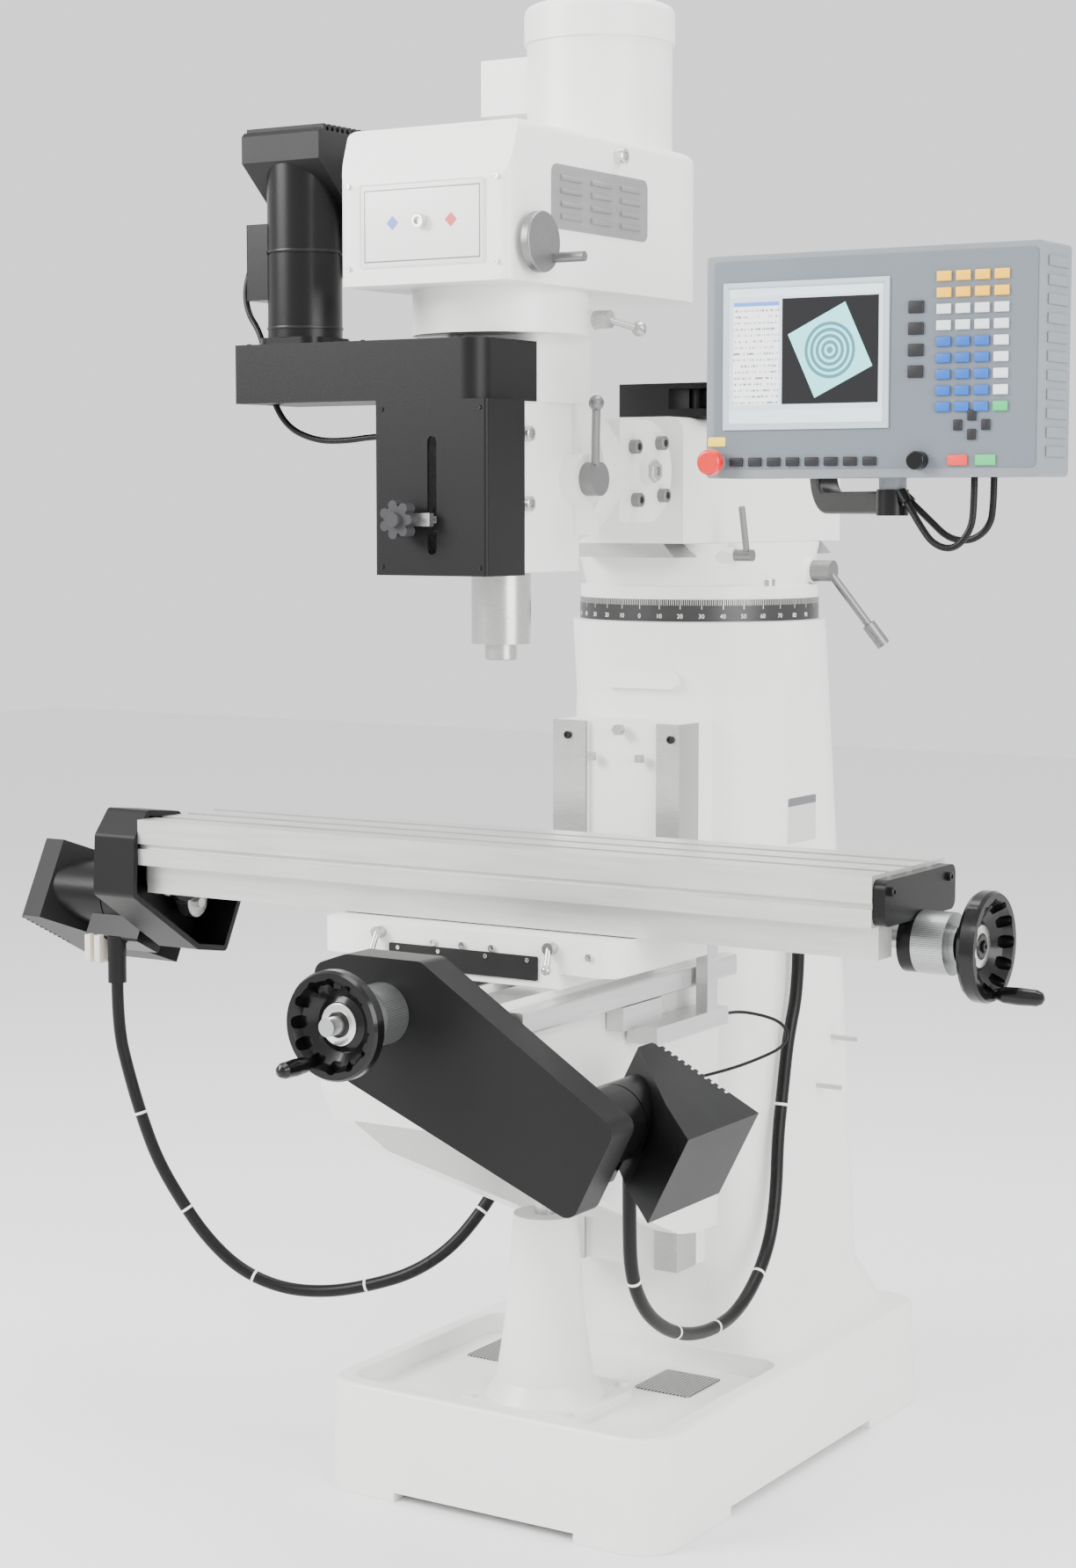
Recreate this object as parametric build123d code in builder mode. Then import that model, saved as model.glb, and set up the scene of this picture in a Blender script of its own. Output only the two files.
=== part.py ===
from build123d import *
import math
import os

# Knee-type vertical milling machine with three-axis drives and a swinging control console.
# Millimetres. +X is the operator's right, +Y points away from the operator, +Z is up.
# The origin is on the floor, at the centre of the four anchor holes of the base.

os.makedirs("parts", exist_ok=True)

# ---------------------------------------------------------------- driving dimensions
FIT = 0.08            # radial clearance of a running fit
GAP = 0.3             # clearance between faces that slide past each other

# Base
BASE_WIDTH = 594
BASE_DEPTH = 902
BASE_HEIGHT = 167
BASE_CORNER = 60
BASE_WALL = 27
BASE_DRAFT = 2
TRAY_FLOOR = 135
TRAY_REAR = -10
FLOOR_PLATE = 30
FOOT_LENGTH = 140
FOOT_ARCH = 14
ANCHOR_X = 470
ANCHOR_Y = 780
ANCHOR_HOLE = 9

# Column
COLUMN_TOP = 1299
COLUMN_WALL = 24
TURRET_Y = 190
WAY_WIDTH = 225
WAY_FRONT = -73
WAY_REAR = 45
WAY_BOTTOM = 300
WAY_TOP = 1148
WAY_RECESS = 10

# Turret and ram
TURRET_RADIUS = 190
TURRET_RING = 55
TURRET_TOP = 1421
RAM_WIDTH = 220
RAM_HEIGHT = 191
RAM_FRONT = -60
RAM_REAR = 472
DOVETAIL_TOP = 150
DOVETAIL_BOTTOM = 190
DOVETAIL_DEPTH = 21

# Head adapter and head
PIVOT_Y = -150
PIVOT_Z = 1529
KNUCKLE_RADIUS = 75
TONGUE_RADIUS = 70
TONGUE_WIDTH = 116
PIVOT_PIN = 20
FLANGE_RADIUS = 105
FLANGE_REAR = -228
FLANGE_THICK = 27
QUILL_Y = -394
QUILL_RADIUS = 42.85
QUILL_BOTTOM = 1282
QUILL_TOP = 1530
QUILL_UP = 87
QUILL_DOWN = 40
SPINDLE_NOSE = 23.5
SPINDLE_SHAFT = 22
NOSE_BOTTOM = 1258.5
COLLET_RADIUS = 12.065
COLLET_DEPTH = 100
DRAWBAR_RADIUS = 6.5
HEAD_WIDTH = 160
HEAD_FRONT = -480
HEAD_BOTTOM = 1385
HEAD_STEP = 1623
DRUM_RADIUS = 125
DRUM_BOTTOM = 1717
DRUM_TOP = 1779
HOUSING_FRONT = -590
HOUSING_HALF = 140
HOUSING_TOP = 1994
MOTOR_Y = -124
MOTOR_RADIUS = 108
MOTOR_CAP = 112
MOTOR_SPLIT = 2157
MOTOR_TOP = 2213
FEED_Y = -330
FEED_Z = 1516

# Knee, saddle, table
KNEE_WIDTH = 300
KNEE_FRONT = -633
KNEE_TOP = 808
KNEE_NOSE_BOTTOM = 622
KNEE_REAR_BOTTOM = 370
LIFT_Y = -275
LIFT_RADIUS = 16
LIFT_BOTTOM = 170
PEDESTAL_TOP = 424
PEDESTAL_TOP_RADIUS = 48
PEDESTAL_BASE_RADIUS = 74
Y_SCREW_Z = 790
SADDLE_WIDTH = 500
SADDLE_FRONT = -495
SADDLE_REAR = -215
SADDLE_TOP = 880
TABLE_LENGTH = 1245
TABLE_FRONT = -465
TABLE_DEPTH = 229
TABLE_TOP = 997
TABLE_SLAB = 70
TABLE_RAIL_BOTTOM = 882
T_SLOT_PITCH = 63.5
T_SLOT_THROAT = 16
T_SLOT_DEPTH = 34
T_SLOT_WIDE = 27
T_SLOT_HEAD = 14
X_SCREW_Y = -347
X_SCREW_Z = 897
SCREW_RADIUS = 12.5

# Servo drives (the same motor and amplifier on all three axes)
DRIVE_TILT = 27
SERVO_RADIUS = 53.5
AMP_HALF = 68
AMP_THIN = 63
AMP_THICK = 200
AMP_BEHIND = -45
AMP_AHEAD = 128
COVER_WALL = 4
WHEEL_RADIUS = 75
DIAL_RADIUS = 42.5

# Console
CONSOLE_LEFT = 381
CONSOLE_WIDTH = 473
CONSOLE_FRONT = -480
CONSOLE_DEPTH = 88
CONSOLE_BOTTOM = 1514
CONSOLE_HEIGHT = 290
ARM_PIVOT = (88, 45)
CONSOLE_PIVOT = (629, -430)
ARM_REACH = 0.671
ARM_HIGH = 1641
ARM_LOW = 1482
ARM_SECTION = (32, 30)

# Cords: outside diameter and route points
BUNDLE = 20
LEAD = 9
THIN_LEAD = 5
X_CABLE_TABLE = [
    (-778, -337, 712), (-778, -337, 637), (-754, -340, 566), (-734, -333, 495), (-712, -321, 424),
    (-676, -307, 359), (-636, -290, 298), (-584, -271, 249), (-516, -251, 224), (-445, -228, 223),
    (-375, -205, 239), (-309, -180, 263), (-281.7, -166.1, 283.8),
]
X_CABLE_SADDLE = [
    (-281.3, -165.9, 284.2), (-254, -152, 305), (-217, -121, 362), (-202, -74, 419),
    (-204.5, -49.7, 446.8),
]
X_CABLE_KNEE = [
    (-204.5, -49.3, 447.2), (-207, -25, 475), (-211, 25, 531), (-210, 67, 593), (-208, 100, 661),
    (-208, 136, 726), (-208, 136, 800),
]
Y_CABLE = [
    (246, -446, 560), (246, -446, 481), (247, -443, 403), (242, -397, 340), (240, -332, 296),
    (237, -258, 269), (234, -180, 257), (231, -102, 261), (227, -30, 293), (222, 28, 345),
    (216, 58, 417), (210, 73, 495), (207, 95, 571), (206, 113, 648), (206, 146, 722),
    (206, 146, 800),
]
SCALE_CABLE = [
    (188, -84.7, 712), (188, -35, 712), (210, 15, 700), (227, 46, 686), (234, 60, 666),
    (229, 50, 645), (213, 2, 634), (196, -55, 626), (162, -128, 618), (162, -190, 618),
]
CONSOLE_CABLE_A = [
    (656, -430, 1482), (682, -429, 1459), (706, -426, 1436), (738, -425, 1432), (765, -428, 1451),
    (770, -430, 1482), (770, -430, 1514),
]
CONSOLE_CABLE_B = [
    (656, -444, 1482), (677, -449, 1452), (699, -453, 1427), (728, -453, 1422), (748, -448, 1448),
    (750, -446, 1481), (750, -446, 1514),
]
Z_CABLE = [
    (-358, -490, 1850), (-376, -497, 1806), (-365, -510, 1760), (-330, -523, 1727),
    (-312, -530, 1682), (-306, -529, 1633), (-284, -521, 1590), (-239, -513, 1571),
    (-190, -509, 1570), (-140, -508, 1576), (-91, -508, 1576),
]


# ---------------------------------------------------------------- small helpers
def finish(piece, name):
    """Label a finished sub-part and write its STEP file."""
    piece.part.label = name
    export_step(piece.part, f"parts/{name}.step")


def block(x, y, z, mode=Mode.ADD):
    """A box given by its low and high X, Y and Z."""
    middle = (sum(x) / 2, sum(y) / 2, sum(z) / 2)
    with Locations(middle):
        Box(x[1] - x[0], y[1] - y[0], z[1] - z[0], mode=mode)


TURNS = {"X": (0, 90, 0), "Y": (90, 0, 0), "Z": (0, 0, 0)}


def bar(axis, start, length, radius, mode=Mode.ADD):
    """A round bar from a start point along +X, +Y or +Z."""
    shift = {"X": (length / 2, 0, 0), "Y": (0, length / 2, 0), "Z": (0, 0, length / 2)}[axis]
    middle = tuple(a + b for a, b in zip(start, shift))
    with Locations(middle):
        Cylinder(radius, length, rotation=TURNS[axis], mode=mode)


def ball(centre, radius):
    """A ball knob."""
    with Locations(centre):
        Sphere(radius)


def rod_between(a, b, radius):
    """A plain round rod from one point to another."""
    along = Vector(*b) - Vector(*a)
    with Locations(Plane(origin=a, z_dir=along)):
        Cylinder(radius, along.length, align=(Align.CENTER, Align.CENTER, Align.MIN))


def gland(cable, length, radius):
    """A cable gland behind a cord's first point, in line with its first run."""
    out = (Vector(*cable[0]) - Vector(*cable[1])).normalized()
    with Locations(Plane(origin=cable[0], z_dir=out)):
        Cylinder(radius, length, align=(Align.CENTER, Align.CENTER, Align.MIN))


def front_plane(y, x=0, z=0):
    """A plane facing the operator: local x is +X and local y is +Z."""
    return Plane(origin=(x, y, z), x_dir=(1, 0, 0), z_dir=(0, -1, 0))


def side_plane(x, y=0, z=0):
    """A plane facing +X: local x is +Y and local y is +Z."""
    return Plane(origin=(x, y, z), x_dir=(0, 1, 0), z_dir=(1, 0, 0))


# ---------------------------------------------------------------- base
with BuildPart() as base_casting:
    with BuildSketch():
        RectangleRounded(BASE_WIDTH, BASE_DEPTH, BASE_CORNER)
    extrude(amount=BASE_HEIGHT, taper=BASE_DRAFT)
    tray_front = -BASE_DEPTH / 2 + BASE_WALL + 6
    tray_width = BASE_WIDTH - 2 * BASE_WALL - 12
    with BuildSketch(Plane.XY.offset(TRAY_FLOOR)):
        with Locations((0, (tray_front + TRAY_REAR) / 2)):
            RectangleRounded(tray_width, TRAY_REAR - tray_front, BASE_CORNER - BASE_WALL)
    extrude(amount=BASE_HEIGHT, mode=Mode.SUBTRACT)
    with BuildSketch():
        RectangleRounded(BASE_WIDTH - 2 * BASE_WALL, BASE_DEPTH - 2 * BASE_WALL, BASE_CORNER - BASE_WALL)
    extrude(amount=TRAY_FLOOR - FLOOR_PLATE, mode=Mode.SUBTRACT)
    with Locations((0, 0, (TRAY_FLOOR - FLOOR_PLATE) / 2)):
        with GridLocations(ANCHOR_X, ANCHOR_Y, 2, 2):
            Box(74, 66, TRAY_FLOOR - FLOOR_PLATE)
    across = BASE_WIDTH / 2 - FOOT_LENGTH
    along = BASE_DEPTH / 2 - FOOT_LENGTH * 1.55
    block((-across, across), (-BASE_DEPTH, BASE_DEPTH), (0, FOOT_ARCH), Mode.SUBTRACT)
    block((-BASE_WIDTH, BASE_WIDTH), (-along, along), (0, FOOT_ARCH), Mode.SUBTRACT)
    with GridLocations(ANCHOR_X, ANCHOR_Y, 2, 2):
        Cylinder(ANCHOR_HOLE, 2 * BASE_HEIGHT, mode=Mode.SUBTRACT)
    bar("Z", (0, LIFT_Y, 0), BASE_HEIGHT, LIFT_RADIUS + 8, Mode.SUBTRACT)
    rim = base_casting.faces().filter_by(Axis.Z).sort_by(Axis.Z)[-1]
    fillet(rim.outer_wire().edges(), 7)
finish(base_casting, "base_casting")

# Screw pedestal: a hollow cone that stands in the tray and holds the elevating nut.
with BuildPart() as screw_pedestal:
    with BuildSketch(Plane.XZ.offset(-LIFT_Y)):
        with BuildLine():
            Polyline(
                (LIFT_RADIUS + FIT, PEDESTAL_TOP),
                (PEDESTAL_TOP_RADIUS, PEDESTAL_TOP),
                (PEDESTAL_BASE_RADIUS - 14, TRAY_FLOOR + 130),
                (PEDESTAL_BASE_RADIUS, TRAY_FLOOR + 40),
                (PEDESTAL_BASE_RADIUS + 16, TRAY_FLOOR + 14),
                (PEDESTAL_BASE_RADIUS + 16, TRAY_FLOOR),
                (PEDESTAL_BASE_RADIUS - 24, TRAY_FLOOR),
                (PEDESTAL_TOP_RADIUS - 16, PEDESTAL_TOP - 60),
                (LIFT_RADIUS + FIT, PEDESTAL_TOP - 60),
                close=True,
            )
        make_face()
    revolve(axis=Axis((0, LIFT_Y, 0), (0, 0, 1)))
    with BuildSketch(Plane.XY.offset(TRAY_FLOOR)):
        with Locations((0, LIFT_Y)):
            RectangleRounded(212, 212, 40)
            Circle(PEDESTAL_BASE_RADIUS - 24, mode=Mode.SUBTRACT)
    extrude(amount=14)
    with Locations((0, LIFT_Y, TRAY_FLOOR + 14)):
        with GridLocations(170, 170, 2, 2):
            Cylinder(9, 14)
finish(screw_pedestal, "screw_pedestal")

# Column sections: height, half width, front, rear, corner radius.
COLUMN_SECTIONS = [
    (BASE_HEIGHT, 250, -4, 440, 80),
    (BASE_HEIGHT + 67, 202, 14, 434, 80),
    (584, 190, 20, 424, 90),
    (900, 182, 26, 406, 100),
    (1184, 186, 10, 400, 150),
    (COLUMN_TOP, 202, TURRET_Y - 202, TURRET_Y + 202, 201),
]
with BuildPart() as column_casting:
    for height, half, front, rear, corner in COLUMN_SECTIONS:
        with BuildSketch(Plane.XY.offset(height)):
            with Locations((0, (front + rear) / 2)):
                RectangleRounded(2 * half, rear - front, corner)
    loft(ruled=True)
    block((-WAY_WIDTH / 2, WAY_WIDTH / 2), (WAY_FRONT, WAY_REAR), (WAY_BOTTOM, WAY_TOP))
    block((-54, 72), (WAY_FRONT, WAY_FRONT + WAY_RECESS), (WAY_BOTTOM, WAY_TOP), Mode.SUBTRACT)
    for height, half, front, rear, corner in COLUMN_SECTIONS[1:-1]:
        with BuildSketch(Plane.XY.offset(height)):
            with Locations((0, (front + WAY_REAR + rear) / 2)):
                inner = (2 * (half - COLUMN_WALL), rear - front - WAY_REAR - 2 * COLUMN_WALL)
                RectangleRounded(*inner, corner - COLUMN_WALL)
    loft(ruled=True, mode=Mode.SUBTRACT)
finish(column_casting, "column_casting")

# Column hardware: front plate, stop bolt, two long studs on the right wall, two cable glands.
GLAND_HEIGHT = 55
with BuildPart() as column_hardware:
    with BuildSketch(front_plane(WAY_FRONT, 9, WAY_TOP - 11)):
        RegularPolygon(9, 6)
    extrude(amount=12)
    for x in (-40, 45):
        block((x - 6, x + 6), (WAY_FRONT - 9, WAY_FRONT), (WAY_TOP - 60, WAY_TOP - 48))
    for cable in (X_CABLE_KNEE, Y_CABLE):
        end_x, end_y, end_z = cable[-1]
        side = math.copysign(1, end_x)
        x = sorted((side * 178, end_x + side * 24))
        block(x, (end_y - 24, end_y + 30), (end_z, end_z + GLAND_HEIGHT))
    bar("X", (175, 300, 618), 59, 4)
    bar("X", (175, 245, 548), 59, 4)
    add(column_casting.part, mode=Mode.SUBTRACT)
finish(column_hardware, "column_hardware")

# ---------------------------------------------------------------- turret
PINION = (160, 280, 1375)
LOCK = (148, 36, 1403)
with BuildPart() as turret_casting:
    bar("Z", (0, TURRET_Y, COLUMN_TOP), TURRET_RING, TURRET_RADIUS)
    with BuildSketch(Plane.XY.offset(COLUMN_TOP + TURRET_RING)):
        with Locations((0, TURRET_Y)):
            RectangleRounded(320, 2 * TURRET_RADIUS - 12, 140)
    with BuildSketch(Plane.XY.offset(TURRET_TOP)):
        with Locations((0, TURRET_Y)):
            RectangleRounded(286, 2 * TURRET_RADIUS - 4, 60)
    loft(ruled=True)
    bar("X", (100, PINION[1], PINION[2]), PINION[0] - 100, 21)
    bar("X", (100, LOCK[1], LOCK[2]), LOCK[0] - 100, 12)
    for z, wide in ((TURRET_TOP - DOVETAIL_DEPTH - GAP, DOVETAIL_BOTTOM), (TURRET_TOP + GAP, DOVETAIL_TOP)):
        with BuildSketch(Plane.XY.offset(z)):
            with Locations((0, TURRET_Y)):
                Rectangle(wide + 4 * GAP, 4 * TURRET_RADIUS)
    loft(ruled=True, mode=Mode.SUBTRACT)
finish(turret_casting, "turret_casting")

RAM_BOTTOM = TURRET_TOP + GAP
with BuildPart() as ram_casting:
    with BuildSketch(front_plane(RAM_REAR)):
        with Locations((0, RAM_BOTTOM + RAM_HEIGHT / 2)):
            RectangleRounded(RAM_WIDTH, RAM_HEIGHT, 26)
    extrude(amount=RAM_REAR - RAM_FRONT)
    block((-RAM_WIDTH / 2, RAM_WIDTH / 2), (RAM_FRONT, RAM_REAR), (RAM_BOTTOM, RAM_BOTTOM + 26))
    for z, wide in ((TURRET_TOP - DOVETAIL_DEPTH, DOVETAIL_BOTTOM), (RAM_BOTTOM, DOVETAIL_TOP)):
        with BuildSketch(Plane.XY.offset(z)):
            with Locations((0, (RAM_FRONT + RAM_REAR) / 2)):
                Rectangle(wide, RAM_REAR - RAM_FRONT)
    loft(ruled=True)
    tongue = (-TONGUE_WIDTH / 2, TONGUE_WIDTH / 2)
    block(tongue, (PIVOT_Y, RAM_FRONT), (PIVOT_Z - TONGUE_RADIUS, PIVOT_Z + TONGUE_RADIUS))
    bar("X", (tongue[0], PIVOT_Y, PIVOT_Z), TONGUE_WIDTH, TONGUE_RADIUS)
    bar("X", (tongue[0], PIVOT_Y, PIVOT_Z), TONGUE_WIDTH, PIVOT_PIN + FIT, Mode.SUBTRACT)
    ram_core = (RAM_BOTTOM + 30, RAM_BOTTOM + RAM_HEIGHT - 24)
    block((-80, 80), (RAM_FRONT + 40, RAM_REAR + 1), ram_core, Mode.SUBTRACT)
    block((-110, 110), (RAM_REAR - 12, RAM_REAR), (RAM_BOTTOM + 26, RAM_BOTTOM + RAM_HEIGHT - 26))
finish(ram_casting, "ram_casting")

# Pinion handle on the turret's right side: it drives the ram.
with BuildPart() as ram_pinion_handle:
    bar("X", (PINION[0] + GAP, PINION[1], PINION[2]), 34, 17)
    tip = (262, PINION[1] + 46, PINION[2] - 118)
    elbow = (PINION[0] + 26, PINION[1], PINION[2])
    rod_between(elbow, tip, 6.5)
    grip = tuple(e + 0.72 * (t - e) for e, t in zip(elbow, tip))
    rod_between(grip, tip, 11)
finish(ram_pinion_handle, "ram_pinion_handle")

with BuildPart() as ram_lock_lever:
    bar("X", (LOCK[0] + GAP, LOCK[1], LOCK[2]), 30, 9)
    rod_between((LOCK[0] + 20, LOCK[1], LOCK[2]), (LOCK[0] + 20, LOCK[1] - 18, LOCK[2] + 74), 5)
finish(ram_lock_lever, "ram_lock_lever")

with BuildPart() as ram_adapter:
    with BuildSketch(side_plane(-RAM_WIDTH / 2 + 12)):
        with Locations((PIVOT_Y, PIVOT_Z)):
            Circle(KNUCKLE_RADIUS)
        with Locations(((FLANGE_REAR + PIVOT_Y) / 2, PIVOT_Z)):
            Rectangle(PIVOT_Y - FLANGE_REAR, 2 * KNUCKLE_RADIUS)
    extrude(amount=RAM_WIDTH - 24)
    slot_half = TONGUE_WIDTH / 2 + GAP
    slot_front = PIVOT_Y - TONGUE_RADIUS - 4
    block((-slot_half, slot_half), (slot_front, 0), (PIVOT_Z - 90, PIVOT_Z + 90), Mode.SUBTRACT)
    bar("Y", (0, FLANGE_REAR - FLANGE_THICK, PIVOT_Z), FLANGE_THICK, FLANGE_RADIUS)
    bar("X", (-RAM_WIDTH / 2, PIVOT_Y, PIVOT_Z), RAM_WIDTH, PIVOT_PIN)
finish(ram_adapter, "ram_adapter")

# ---------------------------------------------------------------- head
FLANGE_FRONT = FLANGE_REAR - FLANGE_THICK - GAP
CARRIAGE_X = 5
CARRIAGE_HALF = 12
BOX_SLOT = (1411, 1573)
KNOB_Z = 1459
HILO = (103, -306, 1742)
with BuildPart() as head_casting:
    bar("Y", (0, FLANGE_FRONT - 28, PIVOT_Z), 28, FLANGE_RADIUS)
    block((-85, 85), (-330, FLANGE_FRONT - 10), (PIVOT_Z - 92, 1640))
    with BuildSketch(Plane.XY.offset(HEAD_BOTTOM)):
        with Locations((0, (HEAD_FRONT - 300) / 2)):
            RectangleRounded(HEAD_WIDTH, -300 - HEAD_FRONT, 16)
    extrude(amount=HEAD_STEP - HEAD_BOTTOM)
    with BuildSketch(Plane.XY.offset(HEAD_STEP)):
        with Locations((0, -345)):
            RectangleRounded(176, 166, 40)
    extrude(amount=DRUM_BOTTOM - HEAD_STEP)
    bar("Z", (0, QUILL_Y, DRUM_BOTTOM), DRUM_TOP - DRUM_BOTTOM, DRUM_RADIUS)
    bar("X", (60, FEED_Y, FEED_Z), 45, 36)
    bar("X", (60, HILO[1], HILO[2]), HILO[0] - 60, 15)
    bore_top = QUILL_TOP + QUILL_UP + 4
    bar("Z", (0, QUILL_Y, HEAD_BOTTOM - 1), bore_top - HEAD_BOTTOM + 1, QUILL_RADIUS + FIT, Mode.SUBTRACT)
    slot_x = (CARRIAGE_X - CARRIAGE_HALF - 1, CARRIAGE_X + CARRIAGE_HALF + 1)
    block(slot_x, (HEAD_FRONT - 1, QUILL_Y - 20), (1394, 1574), Mode.SUBTRACT)
    bar("X", (-16, FEED_Y, FEED_Z), 32, 23, Mode.SUBTRACT)
    bar("X", (-16, FEED_Y, FEED_Z), 200, 10 + FIT, Mode.SUBTRACT)
finish(head_casting, "head_casting")


def housing_outline(inset):
    """The belt housing's plan: flat front, straight sides, round back about the motor."""
    half = HOUSING_HALF - inset
    front = HOUSING_FRONT + inset
    with BuildLine() as outline:
        Polyline((-half, MOTOR_Y), (-half, front), (half, front), (half, MOTOR_Y))
        ThreePointArc((half, MOTOR_Y), (0, MOTOR_Y + half), (-half, MOTOR_Y))
    make_face(outline.edges())


with BuildPart() as belt_housing:
    with BuildSketch(Plane.XY.offset(DRUM_TOP)):
        housing_outline(0)
    extrude(amount=HOUSING_TOP - DRUM_TOP)
    top_front = belt_housing.edges().filter_by(Axis.X).sort_by(Axis.Z)[-1]
    chamfer(top_front, 78, 26)
    fillet(belt_housing.edges().filter_by(Axis.Z).group_by(Axis.Y)[0], 14)
    top = belt_housing.faces().filter_by(Axis.Z).sort_by(Axis.Z)[-1]
    fillet(top.edges(), 12)
    with BuildSketch(Plane.XY.offset(DRUM_TOP + 14)):
        housing_outline(34)
    extrude(amount=HOUSING_TOP - DRUM_TOP - 48, mode=Mode.SUBTRACT)
finish(belt_housing, "belt_housing")

with BuildPart() as spindle_motor:
    bar("Z", (0, MOTOR_Y, HOUSING_TOP), MOTOR_SPLIT - HOUSING_TOP, MOTOR_RADIUS)
    bar("Z", (0, MOTOR_Y, MOTOR_SPLIT), MOTOR_TOP - MOTOR_SPLIT, MOTOR_CAP)
    fillet(spindle_motor.edges().sort_by(Axis.Z)[-1], 14)
    block((-170, -60), (MOTOR_Y - 62, MOTOR_Y + 6), (2059, 2141))
finish(spindle_motor, "spindle_motor")

SPEED = (HOUSING_HALF, -538, 1831)
with BuildPart() as speed_handwheel:
    bar("X", (SPEED[0] + GAP, SPEED[1], SPEED[2]), 12, 16)
    bar("X", (SPEED[0] + 12, SPEED[1], SPEED[2]), 12, 41)
    fillet(speed_handwheel.edges().filter_by(GeomType.CIRCLE).sort_by(Axis.X)[-1], 3)
    bar("X", (SPEED[0] + 20, SPEED[1] + 24, SPEED[2] - 20), 52, 7)
finish(speed_handwheel, "speed_handwheel")

with BuildPart() as hi_lo_lever:
    bar("X", (HILO[0] + GAP, HILO[1], HILO[2]), 25, 13)
    rod_between((HILO[0] + 20, HILO[1], HILO[2]), (HILO[0] + 47, HILO[1] + 44, HILO[2] - 12), 5)
    ball((HILO[0] + 47, HILO[1] + 44, HILO[2] - 12), 11)
finish(hi_lo_lever, "hi_lo_lever")

with BuildPart() as quill_feed_lever:
    bar("X", (105 + GAP, FEED_Y, FEED_Z), 22, 24)
    bar("X", (-13, FEED_Y, FEED_Z), 130, 10)
    bar("X", (-13, FEED_Y, FEED_Z), 26, 20.8)
    rod_between((118, FEED_Y, FEED_Z), (142, FEED_Y - 37, FEED_Z + 106), 6)
    ball((142, FEED_Y - 37, FEED_Z + 106), 11)
finish(quill_feed_lever, "quill_feed_lever")

# Quill, spindle, and the carriage that ties the quill to the feed screw.
BALL_SCREW_Y = -528
with BuildPart() as quill:
    bar("Z", (0, QUILL_Y, QUILL_BOTTOM), QUILL_TOP - QUILL_BOTTOM, QUILL_RADIUS)
    bore = SPINDLE_SHAFT + FIT
    bar("Z", (0, QUILL_Y, QUILL_BOTTOM - 1), QUILL_TOP - QUILL_BOTTOM + 2, bore, Mode.SUBTRACT)
    flat = (KNOB_Z - 19, KNOB_Z + 19)
    block((-40, 40), (QUILL_Y - 60, QUILL_Y - QUILL_RADIUS + 5), flat, Mode.SUBTRACT)
finish(quill, "quill")

with BuildPart() as spindle:
    bar("Z", (0, QUILL_Y, NOSE_BOTTOM), QUILL_BOTTOM - GAP - NOSE_BOTTOM, SPINDLE_NOSE)
    bar("Z", (0, QUILL_Y, QUILL_BOTTOM - GAP), QUILL_TOP - QUILL_BOTTOM - 4, SPINDLE_SHAFT)
    bar("Z", (0, QUILL_Y, NOSE_BOTTOM), COLLET_DEPTH, COLLET_RADIUS, Mode.SUBTRACT)
    bar("Z", (0, QUILL_Y, NOSE_BOTTOM), 400, DRAWBAR_RADIUS, Mode.SUBTRACT)
    chamfer(spindle.edges().sort_by(Axis.Z)[0:1], 1.5)
finish(spindle, "spindle")

KNOB_X = -30
BOX_FRONT = -576
with BuildPart() as quill_carriage:
    carriage_x = (CARRIAGE_X - CARRIAGE_HALF, CARRIAGE_X + CARRIAGE_HALF)
    block(carriage_x, (-556, QUILL_Y - QUILL_RADIUS + 5), (KNOB_Z - 19, KNOB_Z + 19))
    bar("Z", (CARRIAGE_X, BALL_SCREW_Y, KNOB_Z - 19), 38, 8 + FIT, Mode.SUBTRACT)
    bar("Y", (CARRIAGE_X, BOX_FRONT - 14, KNOB_Z), 34, 5)
    block((KNOB_X - 8, CARRIAGE_X + 8), (BOX_FRONT - 18, BOX_FRONT - 8), (KNOB_Z - 9, KNOB_Z + 9))
finish(quill_carriage, "quill_carriage")

with BuildPart() as star_knob:
    with BuildSketch(front_plane(BOX_FRONT - 18 - GAP, KNOB_X, KNOB_Z)):
        Circle(19)
        with PolarLocations(20, 7):
            Circle(7)
    extrude(amount=20)
    bar("Y", (KNOB_X, BOX_FRONT - 46, KNOB_Z), 10, 10)
finish(star_knob, "star_knob")

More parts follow.
